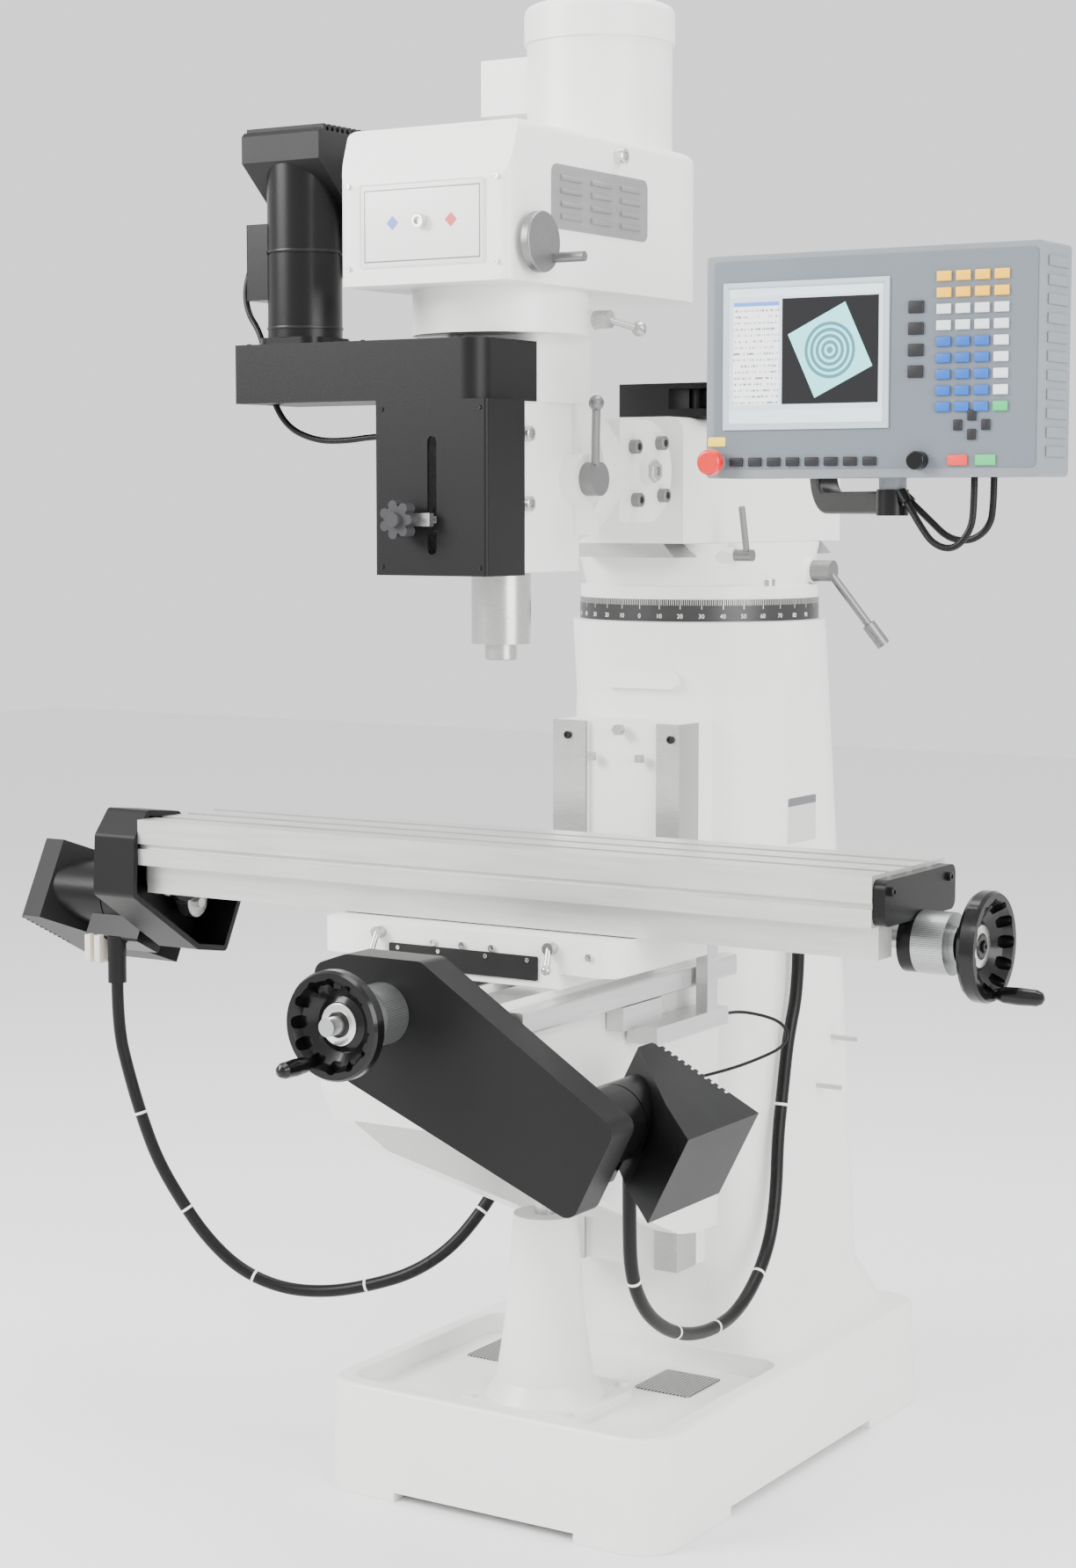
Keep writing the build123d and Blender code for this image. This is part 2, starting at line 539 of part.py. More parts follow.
# ---------------------------------------------------------------- Z drive
ARM_X = (-334, 83)
ARM_Y = (BOX_FRONT, -430)
ARM_Z = (HEAD_STEP, 1706)
BOX_X = (-91, 95)
Z_SERVO = (-266, -500)
with BuildPart() as z_drive_arm:
    with BuildSketch(Plane.XY.offset(ARM_Z[0])):
        with BuildLine():
            corner = 30
            Polyline(
                (ARM_X[1] - corner, ARM_Y[0]),
                (ARM_X[0], ARM_Y[0]),
                (ARM_X[0], ARM_Y[1]),
                (ARM_X[1], ARM_Y[1]),
                (ARM_X[1], ARM_Y[0] + corner),
            )
            RadiusArc((ARM_X[1], ARM_Y[0] + corner), (ARM_X[1] - corner, ARM_Y[0]), corner)
        make_face()
    extrude(amount=ARM_Z[1] - ARM_Z[0])
    inner_x = (ARM_X[0] + COVER_WALL, ARM_X[1] - 12)
    inner_y = (ARM_Y[0] + 12, ARM_Y[1] - COVER_WALL)
    block(inner_x, inner_y, (ARM_Z[0] + COVER_WALL, ARM_Z[1] - COVER_WALL), Mode.SUBTRACT)
    bar("Z", (CARRIAGE_X, BALL_SCREW_Y, ARM_Z[0] - 1), COVER_WALL + 2, 8 + FIT, Mode.SUBTRACT)
    bar("Z", (*Z_SERVO, ARM_Z[1] - COVER_WALL - 1), COVER_WALL + 2, 8 + FIT, Mode.SUBTRACT)
    bar("Z", (-321, -527, ARM_Z[1] - COVER_WALL - 1), COVER_WALL + 2, LEAD, Mode.SUBTRACT)
    bar("Z", (-303, -527, ARM_Z[0] - 1), COVER_WALL + 2, LEAD + 1, Mode.SUBTRACT)
finish(z_drive_arm, "z_drive_arm")

with BuildPart() as z_drive_box:
    block(BOX_X, (BOX_FRONT, HEAD_FRONT), (1382, ARM_Z[0]))
    fillet(z_drive_box.edges().filter_by(Axis.Z).group_by(Axis.Y)[0], 5)
    inside_x = (BOX_X[0] + COVER_WALL, BOX_X[1] - COVER_WALL)
    block(inside_x, (BOX_FRONT + COVER_WALL, HEAD_FRONT + 1), (1382 + COVER_WALL, ARM_Z[0]), Mode.SUBTRACT)
    with BuildSketch(front_plane(BOX_FRONT + 10, CARRIAGE_X, sum(BOX_SLOT) / 2)):
        SlotOverall(BOX_SLOT[1] - BOX_SLOT[0], 15, rotation=90)
    extrude(amount=20, mode=Mode.SUBTRACT)
finish(z_drive_box, "z_drive_box")

with BuildPart() as z_ballscrew:
    bar("Z", (CARRIAGE_X, BALL_SCREW_Y, 1388), 262, 8)
    bar("Z", (CARRIAGE_X, BALL_SCREW_Y, 1642), 24, 30)
finish(z_ballscrew, "z_ballscrew")


def servo_motor(seat, near, shaft):
    """A servo motor whose axis is the seat plane's normal: flange, body, connector box, shaft.
    near is how far along the axis its amplifier's thick side starts."""
    length = near + AMP_THICK - AMP_THIN + 30
    with BuildPart() as motor:
        with BuildSketch(seat.offset(near - 40)):
            with Locations((0, 62)):
                RectangleRounded(60, 44, 4)
        extrude(amount=108)
        with BuildSketch(seat):
            RectangleRounded(SERVO_RADIUS * 2 - 3, SERVO_RADIUS * 2 - 3, 24)
        extrude(amount=11)
        with BuildSketch(seat.offset(11)):
            Circle(SERVO_RADIUS)
        extrude(amount=length - 11)
        with BuildSketch(seat.offset(length * 0.47)):
            Circle(SERVO_RADIUS)
            Circle(SERVO_RADIUS - 1.5, mode=Mode.SUBTRACT)
        extrude(amount=3, mode=Mode.SUBTRACT)
        if shaft:
            with BuildSketch(seat):
                Circle(8)
            extrude(amount=-shaft)
    return motor


def servo_amplifier(seat, near):
    """The finned amplifier on a motor's end. The seat's normal is the motor's axis and its
    local x points to the thick side; near is how far along the axis the thick side starts."""
    far = near + AMP_THICK
    profile = Plane(origin=seat.origin, x_dir=seat.x_dir, z_dir=-seat.y_dir)
    with BuildPart() as amplifier:
        with BuildSketch(profile):
            with BuildLine():
                Polyline(
                    (AMP_BEHIND, far),
                    (AMP_AHEAD, far),
                    (AMP_AHEAD, near),
                    (SERVO_RADIUS + 6, near + 48),
                    (AMP_BEHIND - 12, far - AMP_THIN + 14),
                    (AMP_BEHIND - 12, far - 12),
                    close=True,
                )
            make_face()
        extrude(amount=AMP_HALF, both=True)
        with BuildSketch(seat.offset(far - 9)):
            with GridLocations(12, 0, 13, 1):
                Rectangle(6, 3 * AMP_HALF)
        extrude(amount=20, mode=Mode.SUBTRACT)
        with BuildSketch(seat):
            Circle(SERVO_RADIUS)
        extrude(amount=far - AMP_THIN + 30, mode=Mode.SUBTRACT)
    return amplifier


Z_SEAT = Plane(origin=(*Z_SERVO, ARM_Z[1]), x_dir=(0, 1, 0), z_dir=(0, 0, 1))
Z_AMP_NEAR = 106
z_motor = servo_motor(Z_SEAT, Z_AMP_NEAR, 50)
with z_motor:
    gland(Z_CABLE, 22, 8)
finish(z_motor, "z_motor")
z_amplifier = servo_amplifier(Z_SEAT, Z_AMP_NEAR)
finish(z_amplifier, "z_amplifier")

# ---------------------------------------------------------------- knee
with BuildPart() as knee_casting:
    with BuildSketch(side_plane(-KNEE_WIDTH / 2)):
        with BuildLine():
            Polyline(
                (WAY_FRONT - GAP, KNEE_TOP),
                (KNEE_FRONT, KNEE_TOP),
                (KNEE_FRONT, KNEE_NOSE_BOTTOM + 40),
                (KNEE_FRONT + 30, KNEE_NOSE_BOTTOM - 14),
                (KNEE_FRONT + 110, KNEE_NOSE_BOTTOM - 70),
                (WAY_FRONT - 60, KNEE_REAR_BOTTOM + 10),
                (WAY_FRONT - GAP, KNEE_REAR_BOTTOM),
                close=True,
            )
        make_face()
    extrude(amount=KNEE_WIDTH)
    lower = knee_casting.edges().filter_by(Axis.X).sort_by(Axis.Y)[1:4]
    fillet(lower, 26)
    cheek = (WAY_WIDTH / 2 + GAP, KNEE_WIDTH / 2)
    for side in (-1, 1):
        x = sorted((side * cheek[0], side * cheek[1]))
        block(x, (WAY_FRONT - GAP, -12), (KNEE_REAR_BOTTOM, KNEE_TOP))
    block((-46, 46), (KNEE_FRONT + 25, WAY_FRONT), (KNEE_TOP - 62, KNEE_TOP + 1), Mode.SUBTRACT)
    block((-46, 46), (WAY_FRONT - 20, WAY_FRONT), (KNEE_TOP - 62, KNEE_TOP + 1), Mode.SUBTRACT)
    bar("Y", (0, KNEE_FRONT - 1, Y_SCREW_Z), 40, SCREW_RADIUS + FIT, Mode.SUBTRACT)
    for side in (-1, 1):
        x = sorted((side * 50, side * 92))
        block(x, (KNEE_FRONT + 24, WAY_FRONT - 20), (KNEE_TOP - 30, KNEE_TOP + 1), Mode.SUBTRACT)
    block((-112, 112), (KNEE_FRONT + 28, WAY_FRONT - 24), (KNEE_REAR_BOTTOM - 60, 706), Mode.SUBTRACT)
    bar("Z", (0, LIFT_Y, 690), 60, LIFT_RADIUS + FIT, Mode.SUBTRACT)
    clip = SCALE_CABLE[-1]
    block((KNEE_WIDTH / 2 - 1, clip[0] + 10), (clip[1] - 24, clip[1]), (clip[2] - 10, clip[2] + 10))
finish(knee_casting, "knee_casting")

with BuildPart() as elevating_screw:
    bar("Z", (0, LIFT_Y, LIFT_BOTTOM), 740 - LIFT_BOTTOM, LIFT_RADIUS)
    bar("Z", (0, LIFT_Y, 670), 30, 46)
finish(elevating_screw, "elevating_screw")

# Y drive: the belt cover hangs on the knee's front, tilted down to the motor at its right.
TILT = math.radians(DRIVE_TILT)
Y_COVER_FRONT = -690
Y_SERVO = (267, 639)
Y_COVER = [(-119, 790), (-116, 848), (-64, 866), (61, 866), (368, 671), (301, 539), (-62, 689)]
with BuildPart() as y_drive_housing:
    with BuildSketch(front_plane(KNEE_FRONT)):
        with BuildLine():
            Polyline(*Y_COVER, close=True)
        make_face()
        fillet(vertices(), 20)
    extrude(amount=KNEE_FRONT - Y_COVER_FRONT)
    with BuildSketch(front_plane(KNEE_FRONT - COVER_WALL)):
        with BuildLine():
            Polyline(*Y_COVER, close=True)
        make_face()
        offset(amount=-COVER_WALL - 5, kind=Kind.INTERSECTION)
    extrude(amount=KNEE_FRONT - Y_COVER_FRONT - 2 * COVER_WALL, mode=Mode.SUBTRACT)
    bar("Y", (0, Y_COVER_FRONT - 1, Y_SCREW_Z), 70, SCREW_RADIUS + FIT, Mode.SUBTRACT)
    bar("Y", (Y_SERVO[0], KNEE_FRONT - COVER_WALL - 1, Y_SERVO[1]), COVER_WALL + 2, 8 + FIT, Mode.SUBTRACT)
finish(y_drive_housing, "y_drive_housing")

Y_SEAT = Plane(
    origin=(Y_SERVO[0], KNEE_FRONT, Y_SERVO[1]),
    x_dir=(math.cos(TILT), 0, -math.sin(TILT)),
    z_dir=(0, 1, 0),
)
Y_AMP_NEAR = 58
y_motor = servo_motor(Y_SEAT, Y_AMP_NEAR, 44)
finish(y_motor, "y_motor")
y_amplifier = servo_amplifier(Y_SEAT, Y_AMP_NEAR)
with y_amplifier:
    bar("Z", Y_CABLE[0], 25, 15)
finish(y_amplifier, "y_amplifier")

Y_DIAL = Y_COVER_FRONT - GAP
with BuildPart() as y_screw:
    bar("Y", (0, -821, Y_SCREW_Z), -110 + 821, SCREW_RADIUS)
    bar("Y", (0, KNEE_FRONT - 40, Y_SCREW_Z), 30, 62)
    bar("Y", (0, Y_DIAL - 48, Y_SCREW_Z), 48, DIAL_RADIUS)
    bar("Y", (0, Y_DIAL - 62, Y_SCREW_Z), 14, 30)
finish(y_screw, "y_screw")


def handwheel(hub, screw_radius, collar):
    """A dished handwheel. The hub plane's normal points out along the screw."""
    with BuildPart() as wheel:
        with BuildSketch(Plane(origin=hub.origin, x_dir=hub.x_dir, z_dir=-hub.y_dir)):
            with BuildLine():
                Polyline(
                    (screw_radius + 0.02, 0),
                    (27, 0),
                    (33, collar),
                    (WHEEL_RADIUS - 12, collar + 14),
                    (WHEEL_RADIUS - 3, collar + 14),
                    (WHEEL_RADIUS, collar + 19),
                    (WHEEL_RADIUS, collar + 33),
                    (WHEEL_RADIUS - 3, collar + 38),
                    (WHEEL_RADIUS - 13, collar + 38),
                    (WHEEL_RADIUS - 20, collar + 26),
                    (38, collar + 12),
                    (30, collar + 16),
                    (screw_radius + 0.02, collar + 16),
                    close=True,
                )
            make_face()
        revolve(axis=Axis(hub.origin, hub.z_dir))
        with BuildSketch(hub.offset(collar + 21)):
            with PolarLocations(WHEEL_RADIUS - 19, 12):
                Circle(9)
        extrude(amount=30, mode=Mode.SUBTRACT)
    return wheel


def crank_grip(root, length):
    """The free-turning grip of a handwheel, on its own pin."""
    with BuildPart() as grip:
        with BuildSketch(Plane(origin=root.origin, x_dir=root.x_dir, z_dir=-root.y_dir)):
            with BuildLine():
                Polyline(
                    (0, 0),
                    (7, 0),
                    (8, 6),
                    (11, 14),
                    (12, length * 0.5),
                    (11, length - 10),
                    (8, length - 3),
                    (3, length),
                    (0, length),
                    close=True,
                )
            make_face()
        revolve(axis=Axis(root.origin, root.z_dir))
    return grip


WHEEL_COLLAR = 22
GRIP_RING = 59
Y_HUB_Y = Y_DIAL - 62 - GAP
y_hub = front_plane(Y_HUB_Y, 0, Y_SCREW_Z)
y_handwheel = handwheel(y_hub, SCREW_RADIUS, WHEEL_COLLAR)
finish(y_handwheel, "y_handwheel")
Y_GRIP_ANGLE = math.radians(238)
y_grip_at = (math.cos(Y_GRIP_ANGLE) * 62, Y_SCREW_Z + math.sin(Y_GRIP_ANGLE) * 62)
y_grip = crank_grip(front_plane(Y_HUB_Y - WHEEL_COLLAR - 38 - GAP, *y_grip_at), 68)
finish(y_grip, "y_grip")

# Linear scale of the Y axis on the knee's right side.
SCALE_X = (KNEE_WIDTH / 2, 182)
with BuildPart() as y_scale:
    block(SCALE_X, (-622, -14), (764, 796))
    fillet(y_scale.edges().filter_by(Axis.Y), 4)
finish(y_scale, "y_scale")

# ---------------------------------------------------------------- saddle
READER_ARM = (-150, -118)
READER_FOOT = (702, 728)
with BuildPart() as saddle_casting:
    block((-SADDLE_WIDTH / 2, SADDLE_WIDTH / 2), (SADDLE_FRONT, SADDLE_REAR), (KNEE_TOP + GAP, SADDLE_TOP))
    fillet(saddle_casting.edges().filter_by(Axis.Z), 22)
    saddle_way = (X_SCREW_Y - 55, X_SCREW_Y + 46)
    block((-SADDLE_WIDTH / 2, SADDLE_WIDTH / 2), saddle_way, (SADDLE_TOP, TABLE_TOP - TABLE_SLAB - GAP))
    channel = (X_SCREW_Y - 22, X_SCREW_Y + 22)
    block((-260, 260), channel, (X_SCREW_Z - 28, TABLE_TOP), Mode.SUBTRACT)
    for side in (-1, 1):
        x = sorted((side * (KNEE_WIDTH / 2 + 12), side * 260))
        block(x, (SADDLE_FRONT - 1, SADDLE_REAR + 1), (KNEE_TOP, KNEE_TOP + 22), Mode.SUBTRACT)
    block((-30, 30), (-330, -270), (Y_SCREW_Z - 34, KNEE_TOP + GAP))
    bar("Y", (0, -331, Y_SCREW_Z), 62, SCREW_RADIUS + FIT, Mode.SUBTRACT)
    block((186.5, 206), (SADDLE_REAR - 4, READER_ARM[0]), (846, 872))
finish(saddle_casting, "saddle_casting")


def saddle_lock(x, swing):
    """A saddle clamp lever: a hub on the saddle's front face and a bent handle with a ball."""
    face = SADDLE_FRONT - GAP
    with BuildPart() as lever:
        bar("Y", (x, face - 14, 890 - 24), 14, 9)
        rod_between((x, face - 10, 866), (x + swing, face - 22, 838), 4.5)
        ball((x + swing, face - 22, 838), 7)
    return lever


saddle_lock_left = saddle_lock(-142, -3)
finish(saddle_lock_left, "saddle_lock_left")
saddle_lock_right = saddle_lock(150, 3)
finish(saddle_lock_right, "saddle_lock_right")

# Scale reader: the head that slides under the scale and the bracket that carries it.
with BuildPart() as scale_reader:
    block((152, 180), (-352, -240), (728, 763))
    block((156, 206), (-300, SCALE_CABLE[0][1]), READER_FOOT)
    block((186.5, 206), READER_ARM, (READER_FOOT[0], 872))
finish(scale_reader, "scale_reader")

# ---------------------------------------------------------------- table
TABLE_REAR = TABLE_FRONT + TABLE_DEPTH
with BuildPart() as table:
    half = TABLE_LENGTH / 2
    block((-half, half), (TABLE_FRONT, TABLE_REAR), (TABLE_TOP - TABLE_SLAB, TABLE_TOP))
    rail_front = (TABLE_FRONT + 22, saddle_way[0] - GAP)
    rail_rear = (saddle_way[1] + GAP, TABLE_REAR - 22)
    for rail in (rail_front, rail_rear):
        block((-half, half), rail, (TABLE_RAIL_BOTTOM, TABLE_TOP - TABLE_SLAB))
    middle = (TABLE_FRONT + TABLE_REAR) / 2
    for i in (-1, 0, 1):
        y = middle + i * T_SLOT_PITCH
        throat = (y - T_SLOT_THROAT / 2, y + T_SLOT_THROAT / 2)
        wide = (y - T_SLOT_WIDE / 2, y + T_SLOT_WIDE / 2)
        bottom = TABLE_TOP - T_SLOT_DEPTH
        block((-half - 1, half + 1), throat, (bottom, TABLE_TOP + 1), Mode.SUBTRACT)
        block((-half - 1, half + 1), wide, (bottom, bottom + T_SLOT_HEAD), Mode.SUBTRACT)
    groove = (TABLE_TOP - 45, TABLE_TOP - 37)
    block((-half - 1, half + 1), (TABLE_FRONT - 1, TABLE_FRONT + 8), groove, Mode.SUBTRACT)
finish(table, "table")

X_LEFT = -TABLE_LENGTH / 2
X_RIGHT = TABLE_LENGTH / 2
BRACKET = 18
X_AXIS = (X_SCREW_Y, X_SCREW_Z)
with BuildPart() as x_end_bracket:
    block((X_RIGHT, X_RIGHT + BRACKET), (TABLE_FRONT + 2, TABLE_REAR - 2), (TABLE_TOP - 68, TABLE_TOP - 6))
    fillet(x_end_bracket.edges().filter_by(Axis.X), 14)
    bar("X", (X_RIGHT, *X_AXIS), BRACKET + 2, 42)
    bar("X", (X_RIGHT - 1, *X_AXIS), BRACKET + 10, SCREW_RADIUS + FIT, Mode.SUBTRACT)
finish(x_end_bracket, "x_end_bracket")

# X drive: a tilted belt housing on the table's left end, open towards the table.
HOUSING_X = (X_LEFT - 80, X_LEFT)
X_SERVO = (-280, 845)
X_HOUSING = [(-478, 878), (-473, 970), (-440, 1010), (-365, 1002), (-198, 866), (-250, 764), (-322, 776)]
with BuildPart() as x_drive_housing:
    with BuildSketch(side_plane(HOUSING_X[0])):
        with BuildLine():
            Polyline(*X_HOUSING, close=True)
        make_face()
        fillet(vertices(), 10)
    extrude(amount=HOUSING_X[1] - HOUSING_X[0])
    with BuildSketch(side_plane(HOUSING_X[0] + 6)):
        with BuildLine():
            Polyline(*X_HOUSING, close=True)
        make_face()
        offset(amount=-9, kind=Kind.INTERSECTION)
    extrude(amount=HOUSING_X[1] - HOUSING_X[0], mode=Mode.SUBTRACT)
    web = (HOUSING_X[1] - 12, HOUSING_X[1])
    block(web, (TABLE_FRONT + 4, TABLE_REAR - 40), (TABLE_TOP - 66, TABLE_TOP - 22))
    bar("X", (web[0], *X_AXIS), 12, 40)
    block(web, (X_SCREW_Y - 22, X_SCREW_Y + 22), (X_SCREW_Z, TABLE_TOP - 60))
    bar("X", (web[0] - 1, *X_AXIS), 14, SCREW_RADIUS + FIT, Mode.SUBTRACT)
    bar("X", (HOUSING_X[0] - 1, *X_SERVO), 10, 8 + FIT, Mode.SUBTRACT)
finish(x_drive_housing, "x_drive_housing")

X_SEAT = Plane(
    origin=(HOUSING_X[0], *X_SERVO),
    x_dir=(0, math.cos(TILT), -math.sin(TILT)),
    z_dir=(-1, 0, 0),
)
X_AMP_NEAR = 67.5
X_GLAND_SETBACK = 75.5
x_motor = servo_motor(X_SEAT, X_AMP_NEAR, 0)
with x_motor:
    bar("Z", (HOUSING_X[0] - X_GLAND_SETBACK, *X_CABLE_TABLE[0][1:]), 76, 15)
finish(x_motor, "x_motor")
x_amplifier = servo_amplifier(X_SEAT, X_AMP_NEAR)
finish(x_amplifier, "x_amplifier")

PULLEY_X = (HOUSING_X[0] + 24, HOUSING_X[0] + 46)
X_PULLEY_RADIUS = 34
with BuildPart() as x_screw:
    bar("X", (PULLEY_X[0] - 8, *X_AXIS), X_RIGHT + 78 - PULLEY_X[0], SCREW_RADIUS)
    bar("X", (PULLEY_X[0], *X_AXIS), PULLEY_X[1] - PULLEY_X[0], X_PULLEY_RADIUS)
    dial_x = X_RIGHT + BRACKET + 2 + GAP
    bar("X", (dial_x, *X_AXIS), 46, DIAL_RADIUS)
    bar("X", (dial_x + 46, *X_AXIS), 9, 23.5)
finish(x_screw, "x_screw")

with BuildPart() as x_pulley:
    bar("X", (PULLEY_X[0], *X_SERVO), PULLEY_X[1] - PULLEY_X[0], 24)
    bar("X", (HOUSING_X[0] + GAP, *X_SERVO), PULLEY_X[1] - HOUSING_X[0] + 8, 8)
finish(x_pulley, "x_pulley")

X_HUB_X = dial_x + 55 + GAP
x_hub = side_plane(X_HUB_X, *X_AXIS)
x_handwheel = handwheel(x_hub, SCREW_RADIUS, WHEEL_COLLAR - 12)
finish(x_handwheel, "x_handwheel")
x_grip_root = side_plane(X_HUB_X + WHEEL_COLLAR - 12 + 38 + GAP, X_SCREW_Y, X_SCREW_Z - 62)
x_grip = crank_grip(x_grip_root, 70)
finish(x_grip, "x_grip")

# ---------------------------------------------------------------- console
MOUNT_TOP = 1665
arm_run = (CONSOLE_PIVOT[0] - ARM_PIVOT[0], CONSOLE_PIVOT[1] - ARM_PIVOT[1])
arm_drop = (ARM_PIVOT[0] + ARM_REACH * arm_run[0], ARM_PIVOT[1] + ARM_REACH * arm_run[1])
with BuildPart() as console_mount:
    block((-40, 119), (0, 90), (RAM_BOTTOM + RAM_HEIGHT, MOUNT_TOP))
    fillet(console_mount.edges().filter_by(Axis.Z), 5)
    slot = (ARM_HIGH - ARM_SECTION[1] / 2 - GAP, ARM_HIGH + ARM_SECTION[1] / 2 + GAP)
    block((ARM_PIVOT[0] - 38, 130), (-10, 100), slot, Mode.SUBTRACT)
    bar("Z", (*ARM_PIVOT, slot[0]), slot[1] - slot[0], 8)
finish(console_mount, "console_mount")

with BuildPart() as console_arm:
    bar("Z", (*ARM_PIVOT, ARM_HIGH - ARM_SECTION[1] / 2), ARM_SECTION[1], 24)
    with BuildLine() as arm_path:
        FilletPolyline(
            (*ARM_PIVOT, ARM_HIGH),
            (*arm_drop, ARM_HIGH),
            (*arm_drop, ARM_LOW),
            (*CONSOLE_PIVOT, ARM_LOW),
            radius=42,
        )
    across = (-arm_run[1], arm_run[0], 0)
    with BuildSketch(Plane(origin=arm_path.line @ 0, x_dir=across, z_dir=arm_path.line % 0)):
        RectangleRounded(*ARM_SECTION, 5)
    sweep(path=arm_path.line)
    bar("Z", (*CONSOLE_PIVOT, ARM_LOW - 17), 34, 21)
    gland(CONSOLE_CABLE_A, 18, 7)
    gland(CONSOLE_CABLE_B, 18, 7)
    bar("Z", (*ARM_PIVOT, ARM_HIGH - 30), 60, 8 + FIT, Mode.SUBTRACT)
finish(console_arm, "console_arm")

CONSOLE_RIGHT = CONSOLE_LEFT + CONSOLE_WIDTH
CONSOLE_BACK = CONSOLE_FRONT + CONSOLE_DEPTH
CONSOLE_TOP = CONSOLE_BOTTOM + CONSOLE_HEIGHT
BUTTON_Z = CONSOLE_BOTTOM + 21
STOP_X = CONSOLE_LEFT + 16
FEED_X = CONSOLE_LEFT + 309
with BuildPart() as console_case:
    case_middle = ((CONSOLE_LEFT + CONSOLE_RIGHT) / 2, CONSOLE_BOTTOM + CONSOLE_HEIGHT / 2)
    with BuildSketch(front_plane(CONSOLE_BACK, *case_middle)):
        RectangleRounded(CONSOLE_WIDTH, CONSOLE_HEIGHT, 6)
    extrude(amount=CONSOLE_DEPTH)
    post = ARM_LOW + 17 + GAP
    bar("Z", (*CONSOLE_PIVOT, post), CONSOLE_BOTTOM - post, 18)
    bar("Y", (STOP_X, CONSOLE_FRONT - 8, BUTTON_Z), 8, 13)
    bar("Y", (STOP_X, CONSOLE_FRONT - 9, BUTTON_Z), 15, 8.4, Mode.SUBTRACT)
finish(console_case, "console_case")

KEY_FACE = CONSOLE_FRONT
with BuildPart() as console_keys:
    for row in range(9):
        for column in range(4):
            x = CONSOLE_LEFT + 340 + column * 26
            z = CONSOLE_TOP - 39 - row * 20.4
            block((x - 10, x + 10), (KEY_FACE - 3, KEY_FACE), (z - 6.5, z + 6.5))
    for i in range(8):
        x = CONSOLE_LEFT + 46 + i * 27.6
        block((x - 10, x + 10), (KEY_FACE - 3, KEY_FACE), (BUTTON_Z - 6, BUTTON_Z + 6))
    for i in range(4):
        z = CONSOLE_TOP - 76 - i * 27
        block((CONSOLE_LEFT + 291, CONSOLE_LEFT + 313), (KEY_FACE - 3, KEY_FACE), (z - 8, z + 8))
    for x in (CONSOLE_LEFT + 361, CONSOLE_LEFT + 399):
        block((x - 14, x + 14), (KEY_FACE - 3, KEY_FACE), (BUTTON_Z - 7, BUTTON_Z + 7))
    for dx, dz in ((0, 14), (-19, 2), (19, 2), (0, -10)):
        x = CONSOLE_LEFT + 380 + dx
        z = BUTTON_Z + 42 + dz
        block((x - 6, x + 6), (KEY_FACE - 3, KEY_FACE), (z - 7, z + 7))
finish(console_keys, "console_keys")

with BuildPart() as estop_button:
    bar("Y", (STOP_X, CONSOLE_FRONT - 20, BUTTON_Z), 20, 8)
    bar("Y", (STOP_X, CONSOLE_FRONT - 28, BUTTON_Z), 15, 17)
    fillet(estop_button.edges().sort_by(Axis.Y)[0], 5)
finish(estop_button, "estop_button")

with BuildPart() as feed_knob:
    bar("Y", (FEED_X, CONSOLE_FRONT - 18, BUTTON_Z), 18 - GAP, 12)
    fillet(feed_knob.edges().sort_by(Axis.Y)[0], 2)
finish(feed_knob, "feed_knob")

# ---------------------------------------------------------------- cords
def cord(points, diameter, name):
    """A free cord: straight runs joined by arcs as large as each pair of runs allows."""
    runs = [Vector(*b) - Vector(*a) for a, b in zip(points, points[1:])]
    radii = []
    for before, after in zip(runs, runs[1:]):
        turn = math.radians(before.get_angle(after))
        radii.append(0.45 * min(before.length, after.length) / math.tan(turn / 2))
    with BuildPart() as tube:
        with BuildLine() as route:
            FilletPolyline(*points, radius=radii)
        with BuildSketch(Plane(origin=points[0], z_dir=runs[0])):
            Circle(diameter / 2)
        sweep(path=route.line)
    section = math.pi * diameter**2 / 4
    length = sum(edge.length for edge in route.edges())
    ratio = tube.part.volume / (section * length)
    print(name, "length", round(length, 1), "volume over section x length", round(ratio, 4))
    print(name, "radii", [round(r) for r in radii])
    finish(tube, name)


cord(X_CABLE_TABLE, BUNDLE, "x_cable_table")
cord(X_CABLE_SADDLE, BUNDLE, "x_cable_saddle")
cord(X_CABLE_KNEE, BUNDLE, "x_cable_knee")
cord(Y_CABLE, BUNDLE, "y_cable")
cord(SCALE_CABLE, THIN_LEAD, "scale_cable")
cord(CONSOLE_CABLE_A, LEAD, "console_cable_a")
cord(CONSOLE_CABLE_B, LEAD, "console_cable_b")
cord(Z_CABLE, LEAD, "z_cable")
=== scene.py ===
import math

